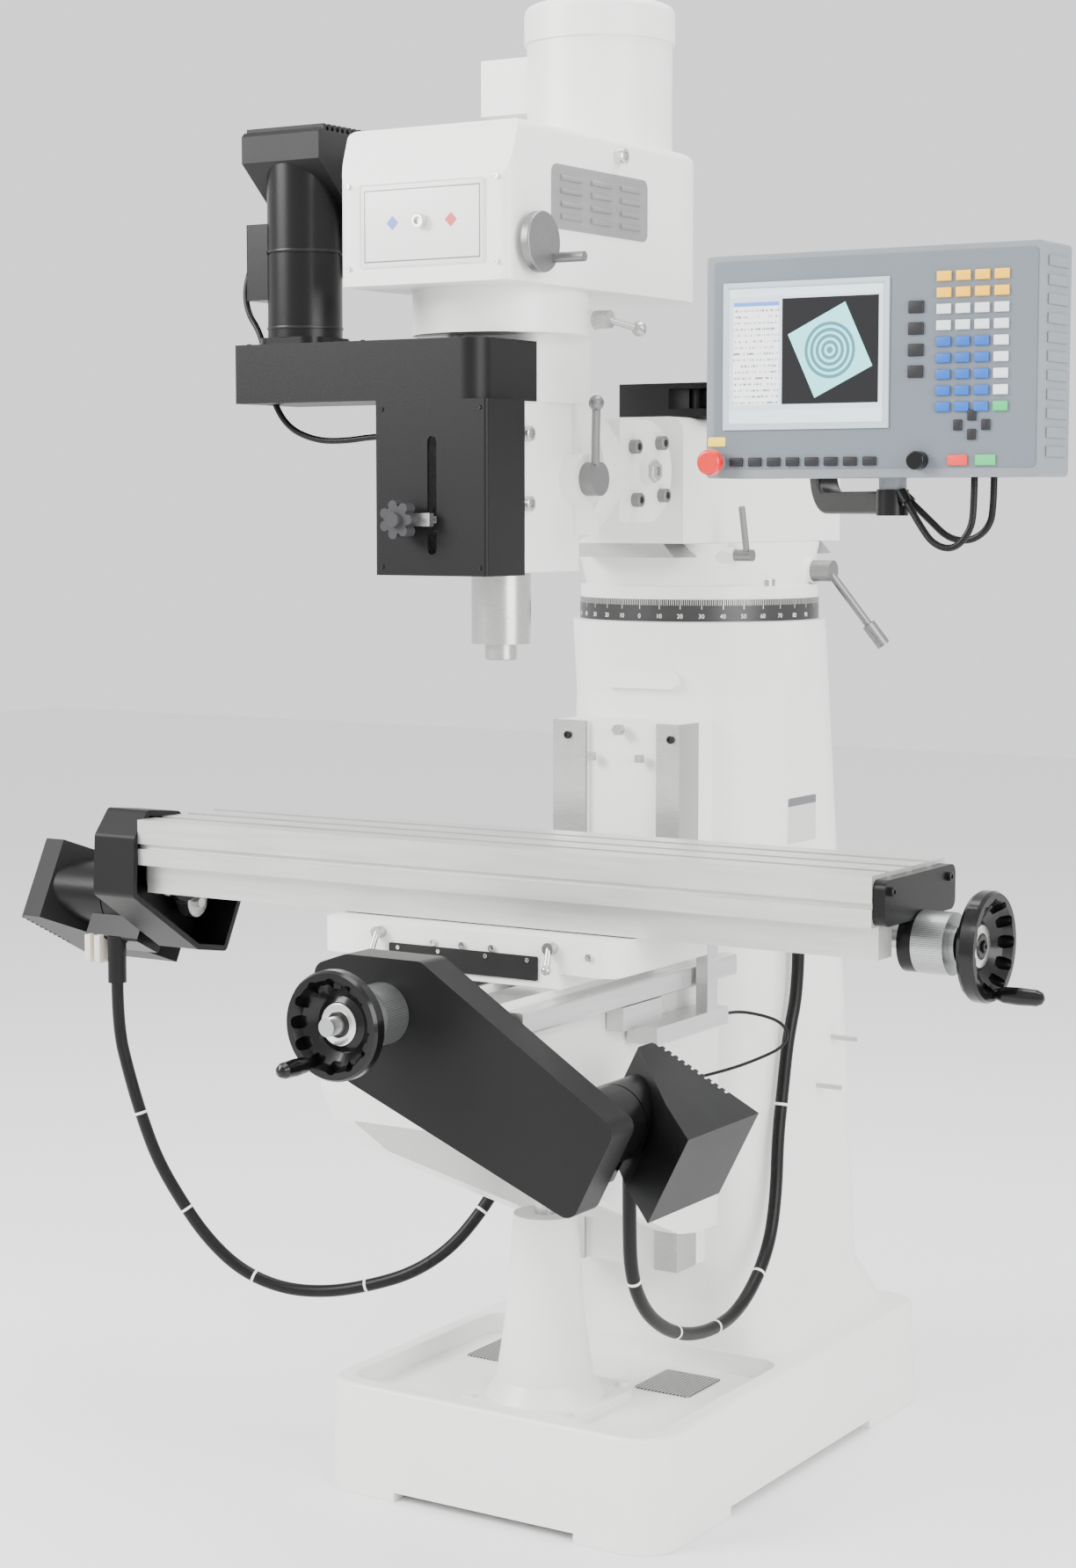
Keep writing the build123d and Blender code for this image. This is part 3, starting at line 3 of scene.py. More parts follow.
import bpy
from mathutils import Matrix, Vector


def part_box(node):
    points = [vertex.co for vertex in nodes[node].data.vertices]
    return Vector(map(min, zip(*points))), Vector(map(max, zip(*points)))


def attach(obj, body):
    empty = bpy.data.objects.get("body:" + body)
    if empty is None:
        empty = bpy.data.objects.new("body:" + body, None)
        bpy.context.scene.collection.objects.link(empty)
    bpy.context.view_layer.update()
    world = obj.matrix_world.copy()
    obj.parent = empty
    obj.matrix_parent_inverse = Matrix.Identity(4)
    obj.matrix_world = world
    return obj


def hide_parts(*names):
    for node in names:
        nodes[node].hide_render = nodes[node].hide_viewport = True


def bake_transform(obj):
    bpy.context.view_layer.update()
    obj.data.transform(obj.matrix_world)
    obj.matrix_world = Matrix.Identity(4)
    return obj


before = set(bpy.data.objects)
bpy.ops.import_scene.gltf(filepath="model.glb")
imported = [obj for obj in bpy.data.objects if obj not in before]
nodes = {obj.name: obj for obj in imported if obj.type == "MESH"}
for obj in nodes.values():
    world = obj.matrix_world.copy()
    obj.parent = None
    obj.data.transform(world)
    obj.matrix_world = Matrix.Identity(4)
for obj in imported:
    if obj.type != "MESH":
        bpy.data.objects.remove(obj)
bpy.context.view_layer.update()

# ---------------------------------------------------------------- studio
# A pale floor that runs away on every side, broad soft lamps to the left, right and
# above, and the camera a little above table height, to the machine's right.
EYE = (2.2031, -3.7862, 1.475)
EYE_TURN = (84.41, 0, 32.257)

camera_data = bpy.data.cameras.new("camera")
camera_data.sensor_fit = "VERTICAL"
camera_data.sensor_width = 36
camera_data.sensor_height = 36
camera_data.lens = 64.74
camera_data.clip_end = 60
camera = bpy.data.objects.new("camera", camera_data)
camera.location = EYE
camera.rotation_euler = [math.radians(a) for a in EYE_TURN]
bpy.context.scene.collection.objects.link(camera)
bpy.context.scene.camera = camera

world = bpy.data.worlds.new("studio")
world.use_nodes = True
world.node_tree.nodes["Background"].inputs["Color"].default_value = (1, 1, 1, 1)
world.node_tree.nodes["Background"].inputs["Strength"].default_value = 1.35
bpy.context.scene.world = world


def soft_lamp(name, place, aim, size, power):
    """A square softbox that faces a point."""
    data = bpy.data.lights.new(name, "AREA")
    data.size = size
    data.energy = power
    lamp = bpy.data.objects.new(name, data)
    lamp.location = place
    lamp.rotation_mode = "QUATERNION"
    lamp.rotation_quaternion = (Vector(aim) - Vector(place)).to_track_quat("-Z", "Y")
    bpy.context.scene.collection.objects.link(lamp)


soft_lamp("key_lamp", (-2.6, -3.4, 3.4), (0, -0.2, 1.1), 2.2, 330)
soft_lamp("fill_lamp", (3.6, -1.6, 2.2), (0, -0.2, 1.0), 2.4, 170)
soft_lamp("top_lamp", (0.2, 0.2, 4.4), (0, 0, 1.0), 2.6, 170)


# ---------------------------------------------------------------- paints and metals
# The castings are filled and sprayed in pale semi-gloss enamel, and where they slide
# they are ground to bare iron. Each finish reads the piece's own Object coordinates.
class Field:
    """One socket of a material, which Python's operators combine through Math nodes."""

    def __init__(self, tree, socket):
        self.tree = tree
        self.socket = socket

    def node(self, kind, settings, sockets, out=0):
        """A new node: its settings are made first, then its sockets' values or links."""
        made = self.tree.nodes.new(kind)
        for key, value in settings.items():
            setattr(made, key, value)
        for key, value in sockets.items():
            if isinstance(value, Field):
                self.tree.links.new(value.socket, made.inputs[key])
            else:
                made.inputs[key].default_value = value
        return Field(self.tree, made.outputs[out])

    def maths(self, operation, *others):
        sockets = dict(enumerate((self, *others)))
        return self.node("ShaderNodeMath", {"operation": operation}, sockets)

    def __add__(self, other):
        return self.maths("ADD", other)

    def __sub__(self, other):
        return self.maths("SUBTRACT", other)

    def __rsub__(self, other):
        return (self * -1) + other

    def __mul__(self, other):
        return self.maths("MULTIPLY", other)

    def __gt__(self, other):
        return self.maths("GREATER_THAN", other)

    def __lt__(self, other):
        return self.maths("LESS_THAN", other)

    __radd__ = __add__
    __rmul__ = __mul__

    def between(self, low, high):
        """1 between two values and 0 outside them."""
        return (self > low) * (self < high)


class Finish:
    """A material on one shader, with the places and patterns that its colour is made from."""

    def __init__(self, name, colour, roughness, metallic=0.0, coat=0.0):
        self.material = bpy.data.materials.new(name)
        self.material.use_nodes = True
        self.tree = self.material.node_tree
        self.shader = self.tree.nodes["Principled BSDF"]
        self.colour = (*colour, 1)
        self.shader.inputs["Base Color"].default_value = self.colour
        self.shader.inputs["Roughness"].default_value = roughness
        self.shader.inputs["Metallic"].default_value = metallic
        self.shader.inputs["Coat Weight"].default_value = coat
        start = Field(self.tree, None)
        self.place = start.node("ShaderNodeTexCoord", {}, {}, "Object")
        self.x, self.y, self.z = [
            start.node("ShaderNodeSeparateXYZ", {}, {0: self.place}, i) for i in range(3)
        ]

    def noise(self, scale, detail=2.0, stretch=(1, 1, 1)):
        """Cloudy noise, drawn out along the axes where stretch is small."""
        spread = self.place.node("ShaderNodeMapping", {}, {"Vector": self.place, "Scale": stretch})
        sockets = {"Vector": spread, "Scale": scale, "Detail": detail}
        return self.place.node("ShaderNodeTexNoise", {}, sockets, 0)

    def blend(self, mask, first, second):
        """The first colour where the mask is 0 and the second where it is 1."""
        first = first if isinstance(first, Field) else (*first[:3], 1)
        second = second if isinstance(second, Field) else (*second[:3], 1)
        settings = {"data_type": "RGBA"}
        return self.place.node("ShaderNodeMix", settings, {0: mask, 6: first, 7: second}, 2)

    def feed(self, **values):
        """Links fields to the shader's sockets, whose names have _ for each space."""
        for key, value in values.items():
            self.tree.links.new(value.socket, self.shader.inputs[key.replace("_", " ")])

    def bump(self, height, distance, strength=1.0):
        """Relief from a height field, the distance in metres."""
        sockets = {"Height": height, "Distance": distance, "Strength": strength}
        self.feed(Normal=self.place.node("ShaderNodeBump", {}, sockets))


def enamel(name, colour, bare=None):
    """Sprayed enamel over filled iron; bare gives the faces that are ground instead."""
    paint = Finish(name, colour, 0.3)
    cloud = paint.noise(5.0, 3.0)
    tone = paint.blend(cloud * 0.5, [c * 0.96 for c in colour], [min(1, c * 1.04) for c in colour])
    gloss = 0.26 + paint.noise(60.0) * 0.14
    peel = paint.noise(420.0, 1.0) * 0.35 + paint.noise(28.0) * 0.65
    if bare:
        mask = bare(paint)
        lines = paint.noise(90.0, 2.0, (1, 1, 22))
        tone = paint.blend(mask, tone, paint.blend(lines, (0.33, 0.33, 0.33), (0.6, 0.6, 0.59)))
        gloss = gloss * (1 - mask) + mask * (0.24 + lines * 0.2)
        paint.feed(Metallic=mask * 0.85)
    paint.feed(Base_Color=tone, Roughness=gloss)
    paint.bump(peel, 0.0006, 0.5)
    return paint


def dress(finish, *names):
    """Give CAD nodes a finish."""
    for name in names:
        slots = nodes[name].data.materials
        slots.clear()
        slots.append(finish.material)


CREAM = (0.86, 0.87, 0.84)
WAYS_FOOT = 0.29
STRIP_FRONT = -0.0665
FLANK_OUT = 0.1115
FLANK_BACK = -0.012
KNEE_WAYS = 0.8074
RAM_WAYS = 1.4215
cream = enamel("cream_enamel", CREAM)
dress(cream, "base_casting", "screw_pedestal", "turret_casting", "ram_adapter")
dress(cream, "head_casting", "belt_housing", "spindle_motor", "saddle_casting")


def ground_ways(paint):
    """The column's ways: the front strips and the flanks, but not the recess between them."""
    above_foot = paint.z > WAYS_FOOT
    front = (paint.y < STRIP_FRONT) * above_foot
    flank = (paint.x.maths("ABSOLUTE") > FLANK_OUT) * (paint.y < FLANK_BACK) * above_foot
    return front.maths("MAXIMUM", flank)


dress(enamel("column_enamel", CREAM, ground_ways), "column_casting")
dress(enamel("knee_enamel", CREAM, lambda paint: paint.z > KNEE_WAYS), "knee_casting")
dress(enamel("ram_enamel", CREAM, lambda paint: paint.z < RAM_WAYS), "ram_casting")


def metal(name, colour, roughness, stretch, metallic=0.9):
    """Machined metal, with tool marks drawn out along one direction."""
    cut = Finish(name, colour, roughness, metallic)
    lines = cut.noise(120.0, 2.0, stretch)
    haze = cut.noise(9.0, 3.0)
    dark = [c * 0.8 for c in colour]
    light = [min(1, c * 1.18) for c in colour]
    cut.feed(
        Base_Color=cut.blend(lines * 0.6 + haze * 0.4, dark, light),
        Roughness=roughness * 0.8 + (lines + haze) * (roughness * 0.25),
    )
    cut.bump(lines, 0.00015, 0.4)
    return cut


steel = metal("turned_steel", (0.5, 0.5, 0.49), 0.26, (1, 1, 20))
dress(steel, "quill", "spindle", "quill_carriage", "z_ballscrew", "elevating_screw")
dress(steel, "hi_lo_lever", "saddle_lock_left", "saddle_lock_right")
dress(steel, "column_hardware", "x_pulley")
dress(metal("ground_table", (0.62, 0.62, 0.6), 0.36, (0.05, 1, 1), 0.75), "table")
pale_alloy = metal("drawn_alloy", (0.66, 0.67, 0.66), 0.34, (1, 0.04, 1))
dress(pale_alloy, "y_scale", "scale_reader")
dark_steel = metal("handle_steel", (0.22, 0.22, 0.22), 0.4, (1, 1, 1), 0.8)
dress(dark_steel, "quill_feed_lever", "ram_lock_lever", "ram_pinion_handle", "speed_handwheel")


def moulded(name, colour, roughness, grain, depth, coat=0.0):
    """A sprayed or moulded dark finish with an even fine grain and dust in its hollows."""
    skin = Finish(name, colour, roughness, 0.0, coat)
    skin.shader.inputs["Specular IOR Level"].default_value = 0.22 if max(colour) < 0.05 else 0.4
    fine = skin.noise(grain, 2.0)
    wear = skin.noise(7.0, 4.0)
    skin.feed(
        Base_Color=skin.blend(wear * 0.5, colour, [c * 1.5 + 0.0008 for c in colour]),
        Roughness=roughness - 0.06 + fine * 0.08 + wear * 0.06,
    )
    skin.bump(fine, depth, 0.6)
    return skin


powder = moulded("black_powder_coat", (0.0035, 0.0035, 0.004), 0.42, 900.0, 0.0002)
dress(powder, "x_drive_housing", "y_drive_housing", "z_drive_arm", "z_drive_box")
dress(powder, "x_amplifier", "y_amplifier", "z_amplifier", "console_mount")
motor_black = moulded("black_motor_paint", (0.004, 0.004, 0.0045), 0.3, 300.0, 0.0001)
dress(motor_black, "x_motor", "y_motor", "z_motor", "x_end_bracket", "console_arm")
resin = moulded("black_resin", (0.003, 0.003, 0.003), 0.22, 150.0, 0.00008, 0.15)
dress(resin, "x_handwheel", "y_handwheel", "x_grip", "y_grip", "feed_knob")
soft_resin = moulded("dark_knob_resin", (0.035, 0.035, 0.037), 0.5, 500.0, 0.0001)
dress(soft_resin, "star_knob")
dress(moulded("red_resin", (0.55, 0.004, 0.004), 0.25, 200.0, 0.00005, 0.3), "estop_button")


# ---------------------------------------------------------------- cables
# Black jacketed leads, loomed together on the table and knee so that they can hang in
# a slack loop while the slides move. White ties hold each loom at uneven steps.
jacket = moulded("cable_jacket", (0.004, 0.004, 0.004), 0.38, 260.0, 0.0003)
tie_nylon = moulded("tie_nylon", (0.75, 0.75, 0.72), 0.4, 300.0, 0.0001)

TABLE_LOOP = [
    (-0.778, -0.337, 0.712), (-0.778, -0.337, 0.637), (-0.754, -0.340, 0.566),
    (-0.734, -0.333, 0.495), (-0.712, -0.321, 0.424), (-0.676, -0.307, 0.359),
    (-0.636, -0.290, 0.298), (-0.584, -0.271, 0.249), (-0.516, -0.251, 0.224),
    (-0.445, -0.228, 0.223), (-0.375, -0.205, 0.239), (-0.309, -0.180, 0.263),
    (-0.2817, -0.1661, 0.2838),
]
SADDLE_RUN = [
    (-0.2813, -0.1659, 0.2842), (-0.254, -0.152, 0.305), (-0.217, -0.121, 0.362),
    (-0.202, -0.074, 0.419), (-0.2045, -0.0497, 0.4468),
]
KNEE_RUN = [
    (-0.2045, -0.0493, 0.4472), (-0.207, -0.025, 0.475), (-0.211, 0.025, 0.531),
    (-0.210, 0.067, 0.593), (-0.208, 0.100, 0.661), (-0.208, 0.136, 0.726),
    (-0.208, 0.136, 0.800),
]
KNEE_LOOP = [
    (0.246, -0.446, 0.560), (0.246, -0.446, 0.481), (0.247, -0.443, 0.403),
    (0.242, -0.397, 0.340), (0.240, -0.332, 0.296), (0.237, -0.258, 0.269),
    (0.234, -0.180, 0.257), (0.231, -0.102, 0.261), (0.227, -0.030, 0.293),
    (0.222, 0.028, 0.345), (0.216, 0.058, 0.417), (0.210, 0.073, 0.495),
    (0.207, 0.095, 0.571), (0.206, 0.113, 0.648), (0.206, 0.146, 0.722),
    (0.206, 0.146, 0.800),
]
SCALE_LEAD = [
    (0.188, -0.0847, 0.712), (0.188, -0.035, 0.712), (0.210, 0.015, 0.700),
    (0.227, 0.046, 0.686), (0.234, 0.060, 0.666), (0.229, 0.050, 0.645),
    (0.213, 0.002, 0.634), (0.196, -0.055, 0.626), (0.162, -0.128, 0.618),
    (0.162, -0.190, 0.618),
]
CONSOLE_LEAD_A = [
    (0.656, -0.430, 1.482), (0.682, -0.429, 1.459), (0.706, -0.426, 1.436),
    (0.738, -0.425, 1.432), (0.765, -0.428, 1.451), (0.770, -0.430, 1.482),
    (0.770, -0.430, 1.514),
]
CONSOLE_LEAD_B = [
    (0.656, -0.444, 1.482), (0.677, -0.449, 1.452), (0.699, -0.453, 1.427),
    (0.728, -0.453, 1.422), (0.748, -0.448, 1.448), (0.750, -0.446, 1.481),
    (0.750, -0.446, 1.514),
]
QUILL_LEAD = [
    (-0.358, -0.490, 1.850), (-0.376, -0.497, 1.806), (-0.365, -0.510, 1.760),
    (-0.330, -0.523, 1.727), (-0.312, -0.530, 1.682), (-0.306, -0.529, 1.633),
    (-0.284, -0.521, 1.590), (-0.239, -0.513, 1.571), (-0.190, -0.509, 1.570),
    (-0.140, -0.508, 1.576), (-0.091, -0.508, 1.576),
]


def mesh_of(curve, name):
    """A mesh copy of a curve as it stands."""
    graph = bpy.context.evaluated_depsgraph_get()
    mesh = bpy.data.meshes.new_from_object(curve.evaluated_get(graph))
    mesh.name = name
    return mesh


def smooth(piece, angle=35):
    """Shades a piece smooth, but for edges sharper than an angle in degrees."""
    bpy.ops.object.select_all(action="DESELECT")
    piece.select_set(True)
    bpy.context.view_layer.objects.active = piece
    bpy.ops.object.shade_smooth_by_angle(angle=math.radians(angle))


def lay_cable(name, points, diameter, ties=(), body=None, bend=None):
    """A cable on its smooth route, with its ties. It rides on body, or, given bend, stays fixed where it
    is laid; the bodies and ends in bend are not used.
    """
    data = bpy.data.curves.new(name, "CURVE")
    data.dimensions = "3D"
    data.resolution_u = 10
    route = data.splines.new("NURBS")
    route.points.add(len(points) - 1)
    for knot, point in zip(route.points, points):
        knot.co = (*point, 1)
    route.order_u = 3
    route.use_endpoint_u = True
    line = bpy.data.objects.new(name + "_route", data)
    bpy.context.scene.collection.objects.link(line)
    bpy.context.view_layer.update()
    path = [v.co.copy() for v in mesh_of(line, name + "_path").vertices]
    data.bevel_depth = diameter / 2
    data.bevel_resolution = 5
    data.use_fill_caps = True
    bpy.context.view_layer.update()
    cable = bpy.data.objects.new(name, mesh_of(line, name))
    bpy.context.scene.collection.objects.link(cable)
    bpy.data.objects.remove(line)
    cable.data.materials.clear()
    cable.data.materials.append(jacket.material)
    smooth(cable)
    pieces = [cable]
    if ties:
        rings = []
        for share in ties:
            at = max(1, min(len(path) - 2, round(share * (len(path) - 1))))
            along = (path[at + 1] - path[at - 1]).normalized()
            bpy.ops.object.select_all(action="DESELECT")
            bpy.ops.mesh.primitive_cylinder_add(
                vertices=32, radius=diameter / 2 + 0.0007, depth=0.0042, location=path[at],
                rotation=along.to_track_quat("Z", "Y").to_euler(),
            )
            ring = bpy.context.object
            bpy.ops.object.mode_set(mode="EDIT")
            bpy.ops.mesh.bevel(offset=0.0005, segments=2, affect="EDGES")
            bpy.ops.object.mode_set(mode="OBJECT")
            rings.append(ring)
        pieces.append(join(name + "_ties", rings, tie_nylon))
    for piece in pieces:
        if bend:
            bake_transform(piece)
        else:
            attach(piece, body)
    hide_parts(name.replace("_jacketed", ""))


def join(name, parts, finish):
    """One object from several, with its place in its mesh."""
    bpy.ops.object.select_all(action="DESELECT")
    for part in parts:
        part.select_set(True)
    bpy.context.view_layer.objects.active = parts[0]
    if len(parts) > 1:
        bpy.ops.object.join()
    piece = bpy.context.view_layer.objects.active
    bpy.ops.object.transform_apply(location=True, rotation=True, scale=True)
    piece.name = name
    piece.data.name = name
    piece.data.materials.clear()
    piece.data.materials.append(finish.material)
    smooth(piece)
    return piece


LOOM = 0.020
LEAD = 0.009
lay_cable(
    "x_cable_table_jacketed", TABLE_LOOP, LOOM, (0.22, 0.43, 0.62, 0.86),
    bend=("saddle", "table_unit", TABLE_LOOP[-1], TABLE_LOOP[0]),
)
lay_cable(
    "x_cable_saddle_jacketed", SADDLE_RUN, LOOM, (0.5,),
    bend=("knee", "saddle", SADDLE_RUN[-1], SADDLE_RUN[0]),
)
lay_cable(
    "x_cable_knee_jacketed", KNEE_RUN, LOOM, (0.4,),
    bend=("frame", "knee", KNEE_RUN[-1], KNEE_RUN[0]),
)
lay_cable(
    "y_cable_jacketed", KNEE_LOOP, LOOM, (0.12, 0.28, 0.4, 0.55, 0.8),
    bend=("frame", "knee", KNEE_LOOP[-1], KNEE_LOOP[0]),
)
lay_cable(
    "scale_cable_jacketed", SCALE_LEAD, 0.005,
    bend=("knee", "saddle", SCALE_LEAD[-1], SCALE_LEAD[0]),
)
lay_cable(
    "console_cable_a_jacketed", CONSOLE_LEAD_A, LEAD,
    bend=("arm", "console", CONSOLE_LEAD_A[0], CONSOLE_LEAD_A[-1]),
)
lay_cable(
    "console_cable_b_jacketed", CONSOLE_LEAD_B, LEAD,
    bend=("arm", "console", CONSOLE_LEAD_B[0], CONSOLE_LEAD_B[-1]),
)
lay_cable("z_cable_jacketed", QUILL_LEAD, LEAD, body="head")


# ---------------------------------------------------------------- floor
# A wide plain pale board under the machine.
bpy.ops.object.select_all(action="DESELECT")
bpy.ops.mesh.primitive_plane_add(size=24, location=(0, 0, -0.0005))
floor = bpy.context.object
floor.name = "floor"
floor_paint = Finish("floor_paint", (0.9, 0.9, 0.9), 0.6)
floor_paint.feed(Roughness=0.55 + floor_paint.noise(2.0) * 0.1)
floor.data.materials.append(floor_paint.material)


# ---------------------------------------------------------------- dials
# Anodised collars behind the handwheels, cut with graduations round their rims.
def graduated(name, along, middle, radius, count, colour=(0.42, 0.43, 0.43)):
    """Turned metal whose rims carry count marks about an axis, beyond a radius."""
    dial = metal(name, colour, 0.3, (1, 1, 1))
    across, up = [(dial.y, dial.z), (dial.x, dial.z)][along]
    across, up = across - middle[0], up - middle[1]
    turn = across.maths("ARCTAN2", up) * (count / math.tau)
    mark = turn.maths("FRACT") < 0.16
    long_mark = (turn * 0.2).maths("FRACT") < 0.04
    rim = (across * across + up * up).maths("SQRT").between(radius - 0.0012, radius + 0.001)
    ink = rim * mark.maths("MAXIMUM", long_mark)
    dial.feed(Base_Color=dial.blend(ink, colour, (0.03, 0.03, 0.03)))
    return dial


X_SCREW_AXIS = (-0.347, 0.897)
Y_SCREW_AXIS = (0.0, 0.790)
DIAL_RADIUS = 0.0425
DIAL_MARKS = 100
dress(graduated("x_dial", 0, X_SCREW_AXIS, DIAL_RADIUS, DIAL_MARKS), "x_screw")
dress(graduated("y_dial", 1, Y_SCREW_AXIS, DIAL_RADIUS, DIAL_MARKS), "y_screw")


# ---------------------------------------------------------------- screws and bolts
# Socket-head screws, turned and blackened or plated. A head is made at each place, and each set's heads
# are joined into one piece.
black_screw = metal("blackened_screw", (0.03, 0.03, 0.03), 0.32, (1, 1, 1), 0.8)
plated = metal("plated_screw", (0.72, 0.72, 0.7), 0.22, (1, 1, 1))


def pick_faces(made, wanted):
    """Edit mode on a piece, with only the faces whose normal passes a test selected."""
    bpy.ops.object.mode_set(mode="EDIT")
    bpy.ops.mesh.select_all(action="DESELECT")
    bpy.ops.object.mode_set(mode="OBJECT")
    for face in made.data.polygons:
        face.select = wanted(face.normal)
    bpy.ops.object.mode_set(mode="EDIT")


def screws(name, body, radius, height, places, facing, finish, sides=24):
    """Cap screws on a body: places are the seats' middles, facing is the way they look."""
    heads = []
    for place in places:
        turn = Vector(facing).to_track_quat("Z", "Y")
        bpy.ops.object.select_all(action="DESELECT")
        bpy.ops.mesh.primitive_cylinder_add(
            vertices=sides, radius=radius, depth=height,
            location=Vector(place) + Vector(facing).normalized() * height / 2,
            rotation=turn.to_euler(),
        )
        head = bpy.context.object
        pick_faces(head, lambda normal: normal.z > 0.9)
        bpy.ops.mesh.inset(thickness=radius * 0.12, depth=radius * 0.1)
        bpy.ops.mesh.inset(thickness=radius * 0.34, depth=0)
        bpy.ops.mesh.inset(thickness=radius * 0.02, depth=-height * 0.45)
        bpy.ops.object.mode_set(mode="OBJECT")
        heads.append(head)
    piece = join(name, heads, finish)
    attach(piece, body)


FRONT = (0, -1, 0)
UP = (0, 0, 1)
SIDE = (1, 0, 0)
BOX_SCREW_INSET = 0.012
box_low, box_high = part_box("z_drive_box")
screws(
    "z_box_screws", "head", 0.003, 0.0016,
    [(x, box_low.y, z) for x in (box_low.x + BOX_SCREW_INSET, box_high.x - BOX_SCREW_INSET)
     for z in (box_low.z + BOX_SCREW_INSET, box_high.z - BOX_SCREW_INSET)],
    FRONT, black_screw,
)
ARM_SCREW_INSET = 0.014
arm_low, arm_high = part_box("z_drive_arm")
screws(
    "z_arm_screws", "head", 0.0034, 0.0016,
    [(x, y, arm_high.z) for x in (arm_low.x + ARM_SCREW_INSET, -0.12, arm_high.x - 0.04)
     for y in (arm_low.y + ARM_SCREW_INSET, arm_high.y - ARM_SCREW_INSET)],
    UP, black_screw,
)
HEAD_SIDE = 0.080
screws(
    "head_front_bolts", "head", 0.0105, 0.009,
    [(HEAD_SIDE, -0.453, 1.578), (HEAD_SIDE, -0.453, 1.481)], SIDE, steel,
)
SADDLE_FRONT = -0.495
screws(
    "saddle_front_screws", "saddle", 0.0055, 0.004,
    [(x, SADDLE_FRONT, 0.858) for x in (-0.05, 0.0, 0.05, 0.21)], FRONT, plated,
)
bracket_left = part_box("x_end_bracket")[0].x
screws(
    "bracket_screws", "table_unit", 0.006, 0.005,
    [(bracket_left + 0.018, y, 0.975) for y in (-0.445, -0.262)],
    SIDE, black_screw,
)
TURRET_MIDDLE_Y = 0.19
TURRET_BOLT_RADIUS = 0.17
turret_bolts = [
    (TURRET_BOLT_RADIUS * math.sin(angle), TURRET_MIDDLE_Y - TURRET_BOLT_RADIUS * math.cos(angle), 1.354)
    for angle in (math.radians(-68), math.radians(68))
]
screws("turret_bolts", "turret", 0.011, 0.010, turret_bolts, UP, steel)


# ---------------------------------------------------------------- handwheel hubs
# A bright turned ring is pressed on each wheel's black hub, round the bolt that holds
# the wheel on its screw.
def hub_ring(name, body, middle, facing):
    """A turned ring with a sunk middle, seated at middle and facing outwards."""
    turn = Vector(facing).to_track_quat("Z", "Y")
    bpy.ops.object.select_all(action="DESELECT")
    bpy.ops.mesh.primitive_cylinder_add(
        vertices=64, radius=0.0285, depth=0.003,
        location=Vector(middle) + Vector(facing) * 0.0015, rotation=turn.to_euler(),
    )
    ring = bpy.context.object
    pick_faces(ring, lambda normal: normal.z > 0.9)
    bpy.ops.mesh.inset(thickness=0.0012, depth=0.0005)
    bpy.ops.mesh.inset(thickness=0.009, depth=0.0)
    bpy.ops.mesh.inset(thickness=0.0004, depth=-0.0025)
    bpy.ops.object.mode_set(mode="OBJECT")
    piece = join(name, [ring], plated)
    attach(piece, body)


y_wheel_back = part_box("y_handwheel")[1].y
x_wheel_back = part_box("x_handwheel")[0].x
y_face = (Y_SCREW_AXIS[0], y_wheel_back - 0.038, Y_SCREW_AXIS[1])
x_face = (x_wheel_back + 0.026, *X_SCREW_AXIS)
hub_ring("y_hub_ring", "y_screw_unit", y_face, FRONT)
hub_ring("x_hub_ring", "x_screw_unit", x_face, SIDE)
hub_face = moulded("hub_face_resin", (0.012, 0.012, 0.012), 0.3, 200.0, 0.00005, 0.2)
screws("y_hub_cap", "y_screw_unit", 0.0172, 0.0035, [y_face], FRONT, hub_face, 48)
screws("x_hub_cap", "x_screw_unit", 0.0172, 0.0035, [x_face], SIDE, hub_face, 48)
screws("y_hub_bolt", "y_screw_unit", 0.0075, 0.0085, [y_face], FRONT, black_screw, 6)
screws("x_hub_bolt", "x_screw_unit", 0.0075, 0.0085, [x_face], SIDE, black_screw, 6)


# ---------------------------------------------------------------- swivel scale
# A dark band round the turret's foot, engraved with degrees and filled white.
BAND_LOW = 1.3005
BAND_HIGH = 1.3345
BAND_RADIUS = 0.1912
bpy.ops.object.select_all(action="DESELECT")
bpy.ops.mesh.primitive_cylinder_add(
    vertices=192, radius=BAND_RADIUS, depth=BAND_HIGH - BAND_LOW, end_fill_type="NOTHING",
    location=(0, TURRET_MIDDLE_Y, (BAND_LOW + BAND_HIGH) / 2),
)
band = bpy.context.object
wall = band.modifiers.new("wall", "SOLIDIFY")
wall.thickness = 0.0009
wall.offset = -1
bpy.ops.object.modifier_apply(modifier="wall")
engraved = metal("engraved_band", (0.05, 0.05, 0.05), 0.35, (1, 1, 1), 0.6)
from_front = (engraved.y - TURRET_MIDDLE_Y) * -1
degrees = engraved.x.maths("ARCTAN2", from_front) * (180 / math.pi) + 720.0
fine_mark = degrees.maths("FRACT") < 0.22
ten_mark = (degrees * 0.1).maths("FRACT") < 0.03
fine_area = fine_mark * (engraved.z > BAND_HIGH - 0.009)
ten_area = ten_mark * (engraved.z > BAND_HIGH - 0.015)
white_fill = fine_area.maths("MAXIMUM", ten_area)
engraved.feed(Base_Color=engraved.blend(white_fill, (0.05, 0.05, 0.05), (0.8, 0.8, 0.78)))
band = join("swivel_band", [band], engraved)
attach(band, "turret")

